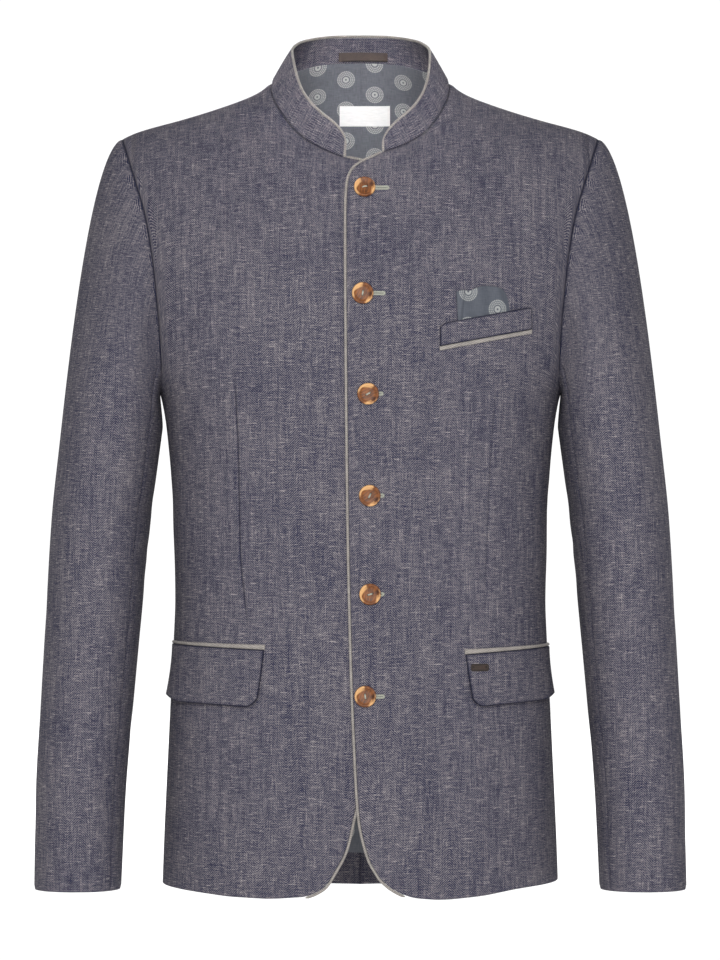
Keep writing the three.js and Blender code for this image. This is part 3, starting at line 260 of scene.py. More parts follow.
# Sleeve creases: turn, height, sweep, half width, lean, depth
ELBOW_CREASES = [(100, -405, 46, 13, -0.16, 1.7), (150, -372, 40, 11, 0.2, 1.1), (215, -425, 44, 13, 0.18, 0.9),
                 (320, -455, 38, 15, -0.14, 1.3)]
SLEEVE_CREASES = {
    "right": [
        (120, -440, 34, 9, -0.2, 1.0), (170, -410, 30, 8, 0.24, 0.7),
        (250, -470, 36, 10, 0.2, 1.0), (60, -520, 34, 16, 0.14, -0.8), (110, -600, 40, 18, -0.12, 0.8),
        (205, -560, 36, 14, 0.16, 0.6), (300, -360, 30, 14, -0.2, 1.0), (40, -640, 36, 20, 0.1, 0.7),
    ],
    "left": [
        (128, -452, 30, 10, -0.18, 0.9), (176, -402, 34, 8, 0.2, 0.7),
        (245, -480, 34, 11, 0.22, 0.9), (66, -540, 36, 15, 0.12, -0.8), (104, -615, 38, 17, -0.14, 0.8),
        (212, -575, 34, 15, 0.14, 0.5), (296, -372, 32, 13, -0.18, 1.0), (36, -655, 34, 19, 0.1, 0.7),
    ],
}


def read_table(at, out):
    """A smooth reading of a table, with no overshoot between its rows."""
    at = np.asarray(at, float)
    out = np.asarray(out, float)
    rise = np.diff(out) / np.diff(at)
    slope = np.zeros(len(at))
    slope[0], slope[-1] = rise[0], rise[-1]
    turning = rise[:-1] * rise[1:] <= 0
    total = np.where(turning, 1, rise[:-1] + rise[1:])
    slope[1:-1] = np.where(turning, 0, 2 * rise[:-1] * rise[1:] / np.where(total == 0, 1, total))

    def read(value):
        x = np.clip(value, at[0], at[-1])
        i = np.clip(np.searchsorted(at, x, side="left") - 1, 0, len(at) - 2)
        span = at[i + 1] - at[i]
        t = (x - at[i]) / span
        return hermite(t, out[i], slope[i] * span, out[i + 1], slope[i + 1] * span)

    return read


def hermite(t, start, leaving, end, arriving):
    s = 1 - t
    return (1 + 2 * t) * s * s * start + t * s * s * leaving + t * t * (3 - 2 * t) * end - t * t * s * arriving


def smooth_step(low, high, value):
    t = np.clip((np.asarray(value, float) - low) / (high - low), 0, 1)
    return t * t * (3 - 2 * t)


def unit(vectors):
    length = np.linalg.norm(vectors, axis=-1, keepdims=True)
    return vectors / np.where(length < 1e-12, 1, length)


def between(first, second):
    """Distance between points, or from each point of a grid to a line of them."""
    return np.linalg.norm(first - second, axis=-1)


def run_along(points, least=0.0):
    """Length along a path from its first point to each one."""
    return np.concatenate([[0], np.cumsum(np.maximum(between(points[1:], points[:-1]), least))])


def to_rim(points):
    """Distance from each point of a grid to the nearest of its four edges."""
    edges = (points[:1], points[-1:], points[:, :1], points[:, -1:])
    return np.minimum.reduce([between(points, edge) for edge in edges])


def quarter_round(share):
    return np.sqrt(np.clip(1 - (1 - np.clip(share, 0, 1)) ** 2, 0, 1))


def hill(off, spread):
    return np.exp(-(off / spread) ** 2)


half_width = read_table(BODY[:, 0], BODY[:, 1])
HALVES = {
    "front": {"depth": read_table(BODY[:, 0], BODY[:, 2]), "round": 2.3, "slope": 1.7, "toward": -1},
    "back": {"depth": read_table(BODY[:, 0], BODY[:, 3]), "round": 2.4, "slope": 2.0, "toward": 1},
}
for half_name, ridge in RIDGES.items():
    HALVES[half_name]["ridge"] = read_table(*np.array(ridge, float).T)


def trace(points):
    """A smooth line through points, read from 0 to 1 by length."""
    points = np.array(points, float)
    run = run_along(points)
    reads = [read_table(run, points[:, k]) for k in range(points.shape[1])]
    return lambda t: np.stack([read(np.asarray(t) * run[-1]) for read in reads], -1)


def chain(lines, steps):
    """Several lines end to end, each given its share of the steps."""
    starts = np.concatenate([[0], np.cumsum(steps)])

    def read(t):
        at = np.atleast_1d(np.asarray(t, float)) * starts[-1]
        which = np.clip(np.searchsorted(starts, at - 1e-9, side="left") - 1, 0, len(lines) - 1)
        out = np.zeros(at.shape + (2,))
        for k, line in enumerate(lines):
            mask = which == k
            if mask.any():
                out[mask] = line(np.clip((at[mask] - starts[k]) / steps[k], 0, 1))
        return out

    return read


def body_point(half, x, z, cosine=None):
    across = 1 - (x / half_width(z)) ** 2 if cosine is None else cosine * cosine
    sine = np.sqrt(np.maximum(1 - across, 0))
    sideways = np.maximum(1 - sine ** half["round"], 0) ** (1 / half["round"])
    above = half["ridge"](np.abs(x)) - CHEST_Z
    up = np.clip((z - CHEST_Z) / above, 0, 1)
    over = np.maximum(1 - up ** half["slope"], 0) ** (1 / half["slope"])
    return np.stack([x, half["toward"] * half["depth"](z) * sideways * over, z], -1)


def unroll(half, x, z):
    above = half["ridge"](np.abs(x)) - CHEST_Z
    turn = np.arcsin(np.clip(x / half_width(z), -1, 1))
    lift = np.arcsin(np.clip((z - CHEST_Z) / above, 0, 1))
    return turn, np.where(z <= CHEST_Z, z, CHEST_Z + above * lift)


def roll_up(half, turn, height):
    sine = np.sin(turn)
    x = half_width(np.minimum(height, 0)) * sine
    z = height
    for _ in range(ROLL_ROUNDS):
        above = half["ridge"](np.abs(x)) - CHEST_Z
        curved = CHEST_Z + above * np.sin(np.clip((height - CHEST_Z) / above, 0, np.pi / 2))
        z = np.where(height > CHEST_Z, curved, height)
        x = half_width(z) * sine
    return body_point(half, x, z, np.cos(turn))


def press(points, creases):
    """Depth of all creases at each place of a body panel."""
    total = np.zeros(points.shape[:-1])
    for x, z, dx, dz, width, depth in creases:
        length = math.hypot(dx, dz)
        along = ((points[..., 0] - x) * dx + (points[..., 2] - z) * dz) / length
        off = ((points[..., 0] - x) * dz - (points[..., 2] - z) * dx) / length
        total += depth * np.exp(-(along / (CREASE_SPAN * length)) ** 2 - (off / width) ** 2)
    return total


def panel_point(half, turn, height, lift=0.0, lap=0.0, creases=()):
    step, reach = 0.004, 1.5
    across = roll_up(half, np.minimum(turn + step, np.pi / 2 - 1e-4), height) \
        - roll_up(half, np.maximum(turn - step, -1.5), height)
    upward = roll_up(half, turn, height) - roll_up(half, turn, height - reach)
    normal = unit(np.cross(across, upward))
    normal = np.where((normal[..., 1] * half["toward"] < 0)[..., None], -normal, normal)
    point = roll_up(half, turn, height)
    out = lap * (1 - smooth_step(*LAP_FADE, point[..., 0])) - press(point, creases) + lift
    return point + normal * np.asarray(out)[..., None], normal


def front_point(side, x, z, lift):
    x = np.asarray(x, float)
    z = np.asarray(z, float)
    turn, height = unroll(HALVES["front"], x, z)
    return panel_point(HALVES["front"], turn, height, lift, LAP[side], BODY_CREASES[f"front_{side}"])


def even(half, line):
    """The same line with its steps even along the cloth."""
    t = np.linspace(0, 1, 121)
    at = line(t)
    points = body_point(half, at[:, 0], at[:, 1])
    run = run_along(points, NEAR)
    read = read_table(run, t)
    return lambda s: line(read(np.asarray(s) * run[-1]))


def inset(line, distance):
    def read(t):
        t = np.atleast_1d(np.asarray(t, float))
        ahead = line(np.minimum(t + 0.002, 1)) - line(np.maximum(t - 0.002, 0))
        ahead = unit(ahead)
        return line(t) + distance * np.stack([ahead[:, 1], -ahead[:, 0]], -1)
    return read


def side_line(hem_z):
    def read(t):
        z = hem_z + (UNDERARM_Z - hem_z) * np.asarray(t, float)
        return np.stack([half_width(z), z], -1)
    return read


def shoulder_line(ridge):
    def read(t):
        x = NECK_POINT_X + (SHOULDER_TIP_X - NECK_POINT_X) * np.asarray(t, float)
        return np.stack([x, ridge(x)], -1)
    return read


FRONT_ARMHOLE = even(HALVES["front"], trace(ARMHOLES["front"]))
BACK_ARMHOLE = even(HALVES["back"], trace(ARMHOLES["back"]))


def front_lines(cut, piping_width):
    half = HALVES["front"]
    steps = FRONT_STEPS
    edge = inset(trace(cut["edge"]), piping_width)
    start, end = edge(0.0)[0], edge(1.0)[0]
    corner_line, hem_line = trace(cut["corner"]), trace(cut["hem"])

    def corner(t):
        t = np.atleast_1d(np.asarray(t, float))
        shift = (end - np.array(cut["corner"][0]))[None] * (1 - t)[:, None]
        drop = piping_width * np.sin(np.pi * np.minimum(t, 1)) * HEM_CORNER["drop"]
        return corner_line(t) + shift - np.stack([0 * drop, drop], -1)

    def hem(t):
        t = np.atleast_1d(np.asarray(t, float))
        at = hem_line(t)
        ease = np.maximum(1 - t * HEM_CORNER["ease"], 0)
        lifted = piping_width * smooth_step(*HEM_CORNER["from"], t)
        lifted = lifted * (1 - smooth_step(*HEM_CORNER["to"], t))
        moved = at + (start - np.array(cut["hem"][0]))[None] * ease[:, None]
        moved[:, 1] += lifted * HEM_CORNER["rise"]
        moved[:, 0] = np.minimum(moved[:, 0], half_width(at[:, 1]))
        return moved

    rise = steps["side"] + steps["armhole"] - steps["corner"] - steps["neck_front"]
    return {
        "left": chain([even(half, edge), even(half, corner), even(half, trace(cut["neck_front"]))],
                      [rise, steps["corner"], steps["neck_front"]]),
        "top": chain([even(half, trace(cut["neck_side"])), shoulder_line(half["ridge"])],
                     [steps["neck_side"], steps["shoulder"]]),
        "right": chain([side_line(cut["hem"][-1][1]), FRONT_ARMHOLE], [steps["side"], steps["armhole"]]),
        "bottom": even(half, hem),
        "across": steps["neck_side"] + steps["shoulder"],
    }


def back_lines():
    half = HALVES["back"]
    steps = BACK_STEPS

    def centre(t):
        z = BACK_HEM[0][1] + (BACK_NECK[0][1] - BACK_HEM[0][1]) * np.asarray(t, float)
        return np.stack([0 * z, z], -1)

    return {
        "left": even(half, centre),
        "top": chain([even(half, trace(BACK_NECK)), shoulder_line(half["ridge"])],
                     [steps["neck"], steps["shoulder"]]),
        "right": chain([side_line(BACK_HEM[-1][1]), BACK_ARMHOLE], [steps["side"], steps["armhole"]]),
        "bottom": even(half, trace(BACK_HEM)),
        "across": steps["neck"] + steps["shoulder"],
    }


def relax(places, rounds):
    """The inner places drawn smooth between the held boundary, with no cell folded over another."""
    work = places.copy()
    work[..., 0] *= TURN_RADIUS
    for _ in range(rounds):
        here = work[1:-1, 1:-1]
        east, west = work[1:-1, 2:], work[1:-1, :-2]
        north, south = work[2:, 1:-1], work[:-2, 1:-1]
        across, upward = (east - west) / 2, (north - south) / 2
        alpha = (upward ** 2).sum(-1, keepdims=True)
        gamma = (across ** 2).sum(-1, keepdims=True)
        beta = (across * upward).sum(-1, keepdims=True)
        twist = work[2:, 2:] - work[2:, :-2] - work[:-2, 2:] + work[:-2, :-2]
        target = (alpha * (east + west) + gamma * (north + south) - beta / 2 * twist) / (2 * (alpha + gamma))
        work[1:-1, 1:-1] = here + RELAX_STEP * (target - here)
    work[..., 0] /= TURN_RADIUS
    return work


def panel_places(half, lines, steps):
    rows, cols = (steps["side"] + steps["armhole"]) * FINE, lines["across"] * FINE
    v, u = np.linspace(0, 1, rows + 1), np.linspace(0, 1, cols + 1)
    edges = {}
    for name, t in (("left", v), ("right", v), ("bottom", u), ("top", u)):
        at = lines[name](t)
        edges[name] = np.stack(unroll(half, at[:, 0], at[:, 1]), -1)
    left, right = edges["left"][:, None], edges["right"][:, None]
    bottom, top = edges["bottom"][None], edges["top"][None]
    vv, uu = v[:, None, None], u[None, :, None]
    corners = [edges["bottom"][0], edges["bottom"][-1], edges["top"][0], edges["top"][-1]]
    places = (1 - uu) * left + uu * right + (1 - vv) * bottom + vv * top \
        - (1 - uu) * (1 - vv) * corners[0] - uu * (1 - vv) * corners[1] \
        - (1 - uu) * vv * corners[2] - uu * vv * corners[3]
    places[:, 0], places[:, -1] = edges["left"], edges["right"]
    places[0], places[-1] = edges["bottom"], edges["top"]
    return relax(places, RELAX_ROUNDS)


def close_steps(count, near=(0.12, 0.32, 0.62)):
    return np.concatenate([[0], near, np.arange(1, count), [count - n for n in reversed(near)], [count]])


def cloth_places(points, half):
    """Places on the flat cloth, in metres: across from the middle and up along the body."""
    across = np.linspace(0, 1, 200)
    y = DEPTH_RATIO * (1 - across ** half["round"]) ** (1 / half["round"])
    run = run_along(np.stack([across, y], -1))
    wide = half_width(np.minimum(points[..., 2], CHEST_Z))
    share = np.clip(np.abs(points[..., 0]) / wide, 0, 1)
    u = np.sign(points[..., 0]) * wide * np.interp(share, across, run)
    v = np.zeros(points.shape[:-1])
    v[1:] = np.cumsum(between(points[1:], points[:-1]), axis=0)
    v += points[0, :, 2][None]
    return np.stack([u, v], -1) * MM


def warp_to_dart(places, dart, rows_at, cols_at):
    """Columns drawn onto a dart's path, so that its groove has close lines of its own."""
    at = trace(dart)(np.linspace(0, 1, 60))
    order = np.argsort(at[:, 1])
    dart_z, dart_x = at[order, 1], at[order, 0]
    rows, cols = np.arange(places.shape[0]), np.arange(places.shape[1])
    found = np.full(len(rows), np.nan)
    for i in rows:
        near = np.argmin(np.abs(half_width(places[i, :, 1]) * np.sin(places[i, :, 0]) - dart_x.mean()))
        z = places[i, near, 1]
        if dart_z[0] - DART_MARGIN < z < dart_z[-1] + DART_MARGIN:
            turn = np.arcsin(np.interp(z, dart_z, dart_x) / half_width(z))
            found[i] = np.interp(turn, places[i, :, 0], cols)
    known = ~np.isnan(found)
    found = np.interp(rows, rows[known], found[known])
    middle = float(np.median(found))
    others = cols_at[np.abs(cols_at - middle) > DART_CLEAR]
    cols_at = np.unique(np.round(np.concatenate([others, middle + DART_LINES]), 4))
    shift = np.interp(rows_at, rows, found) - middle
    reach = np.clip(1 - (np.abs(cols_at - middle) / DART_REACH) ** 2, 0, 1) ** 2
    return cols_at, cols_at[None] + shift[:, None] * reach[None], cols_at - middle


def read_places(places, rows, cols):
    """The grid of places read between its lines, with columns that may differ from row to row."""
    i = np.clip(np.floor(rows).astype(int), 0, places.shape[0] - 2)[:, None]
    j = np.clip(np.floor(cols).astype(int), 0, places.shape[1] - 2)
    fi, fj = (rows[:, None] - i)[..., None], (cols - j)[..., None]
    return ((1 - fi) * (1 - fj) * places[i, j] + fi * (1 - fj) * places[i + 1, j]
            + (1 - fi) * fj * places[i, j + 1] + fi * fj * places[i + 1, j + 1])


def shells(points, normal, thickness, away_from_free):
    """Outer and inner faces of a cloth wall, rounded together along its free edges."""
    close = EDGE_ROUND - np.clip(away_from_free, 0, EDGE_ROUND)
    drawn = EDGE_ROUND - np.sqrt(np.maximum(EDGE_ROUND ** 2 - close ** 2, 0))
    drawn = (drawn * EDGE_DRAWN)[..., None] * normal
    return points - drawn, points - normal * thickness + drawn


def painted_shade_at(away):
    """How much shade is painted on the cloth beside a seam, by its distance from the seam."""
    return hill(away, PAINTED_SHADE_REACH)


def dart_fold(plain, side, off_dart):
    """Height lost in a dart's groove, less the roll beside it, and the shade painted along the groove."""
    z = plain[..., 2]
    low = [DARTS[side][-1][1] + by for by in DART_FADE["low"]]
    high = [DARTS[side][0][1] + by for by in DART_FADE["high"]]
    along = smooth_step(*low, z) * smooth_step(*high, z)
    cell = between(plain[:, 1:], plain[:, :-1])
    run = np.concatenate([np.zeros((len(cell), 1)), np.cumsum(cell, axis=1)], 1)
    off = run - run[:, np.argmin(np.abs(off_dart))][:, None]
    fold = hill(off, DART_HALF_WIDTH)
    roll = hill(np.abs(off) - DART_ROLL["off"], DART_ROLL["half_width"])
    return along * (DART_DEPTH[side] * fold - DART_ROLL["height"] * roll), PAINTED_DART_SHADE[side] * along * fold


def body_panel(name, lines, steps, thickness, lap):
    """The outer and inner faces of one front or back, with its dart, its creases and its drawn-in seams."""
    half_name, side = name.split("_")
    half = HALVES[half_name]
    places = panel_places(half, lines, steps)
    rows_at = close_steps(places.shape[0] - 1)
    cols_at = close_steps(places.shape[1] - 1)
    if half_name == "front":
        cols_at, cols, off_dart = warp_to_dart(places, DARTS[side], rows_at, cols_at)
    else:
        cols = np.tile(cols_at, (len(rows_at), 1))
    fine = read_places(places, rows_at, cols)
    plain, normal = panel_point(half, fine[..., 0], fine[..., 1], 0.0, lap, BODY_CREASES[name])
    side_rows = rows_at <= steps["side"] * FINE + NEAR
    key = "neck_side" if "neck_side" in steps else "neck"
    shoulder_cols = cols_at >= steps[key] * FINE - NEAR
    neck_rows = rows_at >= places.shape[0] - 1 - steps.get("neck_front", 0) * FINE - NEAR
    normal[side_rows, -1, 1] = 0
    normal[-1, shoulder_cols, 1] = 0
    if half_name == "back":
        normal[:, 0, 0] = 0
    normal = unit(normal)
    # A back is sewn along its whole left edge, a front only at its neck
    sewn_left = (neck_rows | (half_name == "back"))[:, None]
    painted_left_shade = PAINTED_SEAM_SHADE["centre" if half_name == "back" else "neck"]
    to_side, to_top, to_left = [between(plain, edge) for edge in (plain[:, -1:], plain[-1:], plain[:, :1])]
    # A seam is drawn in where its stitches hold it, over the last few millimetres
    away = np.minimum(to_side, to_top)
    away = np.where(sewn_left, np.minimum(away, to_left), away)
    dip = SEAM_DIP * np.clip(1 - away / SEAM_REACH, 0, 1) ** 2
    # Shade is painted beside the side and armhole seam, the shoulder, the neck, the back's centre seam and the
    # dart
    painted_top_shade = np.where(shoulder_cols, PAINTED_SEAM_SHADE["shoulder"], PAINTED_SEAM_SHADE["neck"])
    shade = np.maximum(PAINTED_SEAM_SHADE["armhole"] * painted_shade_at(to_side), painted_top_shade * painted_shade_at(to_top))
    shade = np.where(sewn_left, np.maximum(shade, painted_left_shade * painted_shade_at(to_left)), shade)
    if half_name == "front":
        groove, painted_groove_shade = dart_fold(plain, side, off_dart)
        dip = dip + groove
        shade = np.maximum(shade, painted_groove_shade)
    points = plain - normal * dip[..., None]
    free = between(points, points[:1])
    free = np.where(sewn_left, free, np.minimum(free, to_left))
    outer, inner = shells(points, normal, thickness, free)
    for grid in (outer, inner, plain):
        grid[side_rows, -1, 1] = 0
        grid[-1, shoulder_cols, 1] = 0
        if half_name == "back":
            grid[:, 0, 0] = 0
    return {"outer": outer, "inner": inner, "plain": plain, "normal": normal, "places": places,
            "uv": cloth_places(plain, half), "shade": shade}


def mirrored(grid, sign):
    """A grid worked out on the left, on the side that it is for."""
    flips = {"uv": (sign, 1), "shade": 1}
    return {key: grid[key] * np.array(flips.get(key, (sign, 1, 1))) for key in grid if key != "places"}


def new_object(name, data):
    made = bpy.data.objects.new(name, data)
    bpy.context.scene.collection.objects.link(made)
    return made


def set_places(mesh, name, places):
    """Each vertex's place on the flat cloth, kept as a UV map."""
    layer = mesh.uv_layers.new(name=name)
    loops = np.zeros(len(mesh.loops), np.int32)
    mesh.loops.foreach_get("vertex_index", loops)
    layer.data.foreach_set("uv", places[loops].astype(np.float32).ravel())


def wall(name, grid, material):
    """A closed shell from a grid of outer and inner points, with its cloth places as a UV map."""
    outer, inner, uv = grid["outer"], grid["inner"], grid["uv"]
    rows, cols = outer.shape[:2]
    count = rows * cols
    verts = np.concatenate([outer.reshape(-1, 3), inner.reshape(-1, 3)]) * MM
    index = np.arange(count).reshape(rows, cols)
    a, b, c, d = index[:-1, :-1], index[:-1, 1:], index[1:, 1:], index[1:, :-1]
    faces = [np.stack([a, b, c, d], -1).reshape(-1, 4), np.stack([a, d, c, b], -1).reshape(-1, 4) + count]
    rim = np.concatenate([index[0, :], index[1:, -1], index[-1, -2::-1], index[-2:0:-1, 0]])
    after = np.roll(rim, -1)
    faces.append(np.stack([rim, rim + count, after + count, after], -1))
    faces = np.concatenate(faces)
    mesh = bpy.data.meshes.new(name)
    mesh.from_pydata(verts.tolist(), [], faces.tolist())
    set_places(mesh, "cloth", np.concatenate([uv.reshape(-1, 2)] * 2))
    # Painted shade for seams, rims and darts, kept on the points for the materials
    shade = grid.get("shade", np.zeros((rows, cols)))
    held = mesh.attributes.new("painted_seam_shade", "FLOAT", "POINT")
    held.data.foreach_set("value", np.concatenate([shade.ravel()] * 2).astype(np.float32))
    return finish_piece(mesh, name, material, name)


def finish_piece(mesh, name, material, node, sharp=50):
    """Turns the faces outwards, names the piece and ties it to what it stands for."""
    shape = bmesh.new()
    shape.from_mesh(mesh)
    if shape.calc_volume(signed=True) < 0:
        bmesh.ops.reverse_faces(shape, faces=shape.faces)
    shape.to_mesh(mesh)
    shape.free()
    mesh.polygons.foreach_set("use_smooth", [True] * len(mesh.polygons))
    mesh.set_sharp_from_angle(angle=math.radians(sharp))
    mesh.materials.append(material)
    piece = new_object("sewn_" + name, mesh)
    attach(piece, "root")
    if node:
        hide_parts(node)
    return piece


def tube(name, path, radius, outward, material):
    """A round piping along points, closed at both ends."""
    sides = PIPING_SIDES
    ahead = unit(np.gradient(path, axis=0))
    outward = unit(outward - ahead * (outward * ahead).sum(-1, keepdims=True))
    side = np.cross(ahead, outward)
    run = run_along(path)
    end = np.minimum(run, run[-1] - run)
    size = np.where(end < radius, np.sqrt(np.clip(1 - (1 - end / radius) ** 2, 0.08, 1)), 1.0)
    angle = np.linspace(0, 2 * np.pi, sides, endpoint=False)
    ring = np.cos(angle)[None, :, None] * side[:, None] + np.sin(angle)[None, :, None] * outward[:, None]
    points = path[:, None] + radius * size[:, None, None] * ring
    rows = len(path)
    verts = points.reshape(-1, 3).tolist() + [path[0].tolist(), path[-1].tolist()]
    faces = []
    for i in range(rows - 1):
        for j in range(sides):
            k = (j + 1) % sides
            faces.append((i * sides + j, i * sides + k, (i + 1) * sides + k, (i + 1) * sides + j))
    for j in range(sides):
        k = (j + 1) % sides
        faces.append((rows * sides, k, j))
        faces.append((rows * sides + 1, (rows - 1) * sides + j, (rows - 1) * sides + k))
    mesh = bpy.data.meshes.new(name)
    mesh.from_pydata([[c * MM for c in v] for v in verts], [], faces)
    around = np.concatenate([np.tile(angle * radius, rows), [0, 0]]) * MM
    along = np.concatenate([np.repeat(run, sides), [0, run[-1]]]) * MM
    set_places(mesh, "cloth", np.stack([around, along], -1))
    return finish_piece(mesh, name, material, name, 70)


# Sleeves
def armhole_frame(degrees, side):
    """Place, outward direction and way into the armhole, by turn from the shoulder tip through the front."""
    points, normals, aways = [np.zeros((len(degrees), 3)) for _ in range(3)]
    for name, line in (("front", FRONT_ARMHOLE), ("back", BACK_ARMHOLE)):
        mask = degrees <= 180 if name == "front" else degrees > 180
        turn = degrees[mask]
        t = 1 - turn / 180 if name == "front" else (turn - 180) / 180
        half = HALVES[name]

        def at(value):
            place = line(np.clip(value, 0, 1))
            crease = BODY_CREASES[f"{name}_{side}"]
            return panel_point(half, *unroll(half, place[:, 0], place[:, 1]), creases=crease)

        point, normal = at(t)
        along = unit(at(t + 0.02)[0] - at(t - 0.02)[0])
        ends = (t < NEAR) | (t > 1 - NEAR)
        point[ends, 1] = 0
        normal[ends, 1] = 0
        along[ends] = (0, 1, 0)
        normal = unit(normal)
        away = unit(np.cross(along, normal))
        wrong = (away * (ARMHOLE_MIDDLE - point)).sum(-1) < 0
        away[wrong] *= -1
        points[mask], normals[mask], aways[mask] = point, normal, away
    return points, normals, aways


SLEEVE_SIZES = ("outer", "inner", "depth", "swing")
sleeve_reads = {key: read_table(SLEEVE[:, 0], SLEEVE[:, k + 1]) for k, key in enumerate(SLEEVE_SIZES)}
cap_reads = [read_table(CAP[:, 0], CAP[:, k]) for k in range(1, 6)]


def sleeve_ring(radians, z):
    outer, inner = sleeve_reads["outer"](z), sleeve_reads["inner"](z)
    power = 2 / SLEEVE_ROUND
    c, s = np.cos(radians), np.sin(radians)
    x = (outer + inner) / 2 + (outer - inner) / 2 * np.sign(c) * np.abs(c) ** power
    y = -sleeve_reads["swing"](z) - sleeve_reads["depth"](z) * np.sign(s) * np.abs(s) ** power
    return np.stack([x, y, z + 0 * x], -1)


def sleeve_points(degrees, rows_at, side):
    """A sleeve's surface, row by row from the armhole to the cuff, with its creases pressed in."""
    degrees = degrees % 360
    point, _, away = armhole_frame(degrees, side)
    turn = np.where(degrees <= 180, degrees, 360 - degrees)
    flip = np.where(degrees <= 180, 1, -1)
    x, y, z, start, end = [read(turn) for read in cap_reads]
    leaving = unit(np.stack([x, flip * y, z], -1)) * start[:, None]
    origin = point + away * SLEEVE_CLEAR
    radians = np.radians(degrees)
    top = sleeve_ring(radians, np.full(len(degrees), SLEEVE_TOP_Z))
    arriving = unit(sleeve_ring(radians, np.full(len(degrees), SLEEVE_TOP_Z - 10)) - top) * end[:, None]
    grid = []
    for row in rows_at:
        if row <= CAP_ROWS:
            at = hermite(row / CAP_ROWS, origin, leaving, top, arriving)
        else:
            height = SLEEVE_TOP_Z + (CUFF_Z - SLEEVE_TOP_Z) * (row - CAP_ROWS) / ARM_ROWS
            at = sleeve_ring(radians, np.full(len(degrees), height))
        grid.append(at)
    grid = np.array(grid)
    z = grid[..., 2]
    depth = np.zeros(z.shape)
    for fold_turn, fold_z, sweep, width, lean, deep in ELBOW_CREASES + SLEEVE_CREASES[side]:
        around = (degrees[None] - fold_turn + 540) % 360 - 180
        depth += deep * np.exp(-(around / sweep) ** 2 - ((z - fold_z - lean * around) / width) ** 2)
    low = np.minimum(z, SLEEVE_TOP_Z)
    centre = (sleeve_reads["outer"](low) + sleeve_reads["inner"](low)) / 2
    middle = np.stack([centre, -sleeve_reads["swing"](low), z], -1)
    return grid - unit(grid - middle) * (depth * smooth_step(*SLEEVE_CREASE_FADE, z))[..., None]


def sleeve_panel(side, start, end, thickness):
    """One half of a sleeve, between two seams given by their turn."""
    count = int(round((end - start) / TURN_STEP))
    turns = start + (end - start) * close_steps(count, (0.1, 0.3, 0.6)) / count
    rows_at = np.concatenate([HEAD_STEPS, np.arange(1, CAP_ROWS + ARM_ROWS + 1)])

    def read(shift):
        return sleeve_points(turns + shift, rows_at, side)

    points = read(0.0)
    across = read(1.0) - read(-1.0)
    down = np.gradient(points, axis=0)
    down[:3] = points[6] - points[0]
    normal = unit(np.cross(across, down))
    ring = points[TESTED_ROW]
    if (normal[TESTED_ROW] * (ring - ring.mean(0))).sum() < 0:
        normal = -normal
    # At the armhole the sleeve takes the body's own direction, so that the two edges meet
    head = between(points, points[:1])
    from_body = np.clip(1 - head / (1.5 * SEAM_REACH), 0, 1)
    body_normal = armhole_frame(turns % 360, side)[1][None]
    normal = unit(normal + (body_normal - normal) * (from_body ** 0.7)[..., None])
    seams = np.minimum(between(points, points[:, :1]), between(points, points[:, -1:]))
    dip = np.maximum(SLEEVE_SEAM_DIP * np.clip(1 - seams / SEAM_REACH, 0, 1) ** 2,
                     SEAM_DIP * np.clip(1 - head / SEAM_REACH, 0, 1) ** 2)
    # Shade is painted beside the armhole seam and the sleeve's own seams
    shade = np.maximum(PAINTED_SEAM_SHADE["armhole"] * painted_shade_at(head), PAINTED_SEAM_SHADE["sleeve"] * painted_shade_at(seams))
    points = points - normal * dip[..., None]
    u = np.concatenate([np.zeros((len(rows_at), 1)), between(points[:, 1:], points[:, :-1])], 1).cumsum(1)
    middle = np.argmin(np.abs(turns - (0 if start < 0 else (start + end) / 2)))
    u -= u[:, middle:middle + 1]
    v = -np.concatenate([np.zeros((1, len(turns))), between(points[1:], points[:-1])]).cumsum(0)
    v -= v[-1:]
    outer, inner = shells(points, normal, thickness, between(points, points[-1:]))
    return {"outer": outer, "inner": inner, "normal": normal, "uv": np.stack([u, v], -1) * MM, "shade": shade}


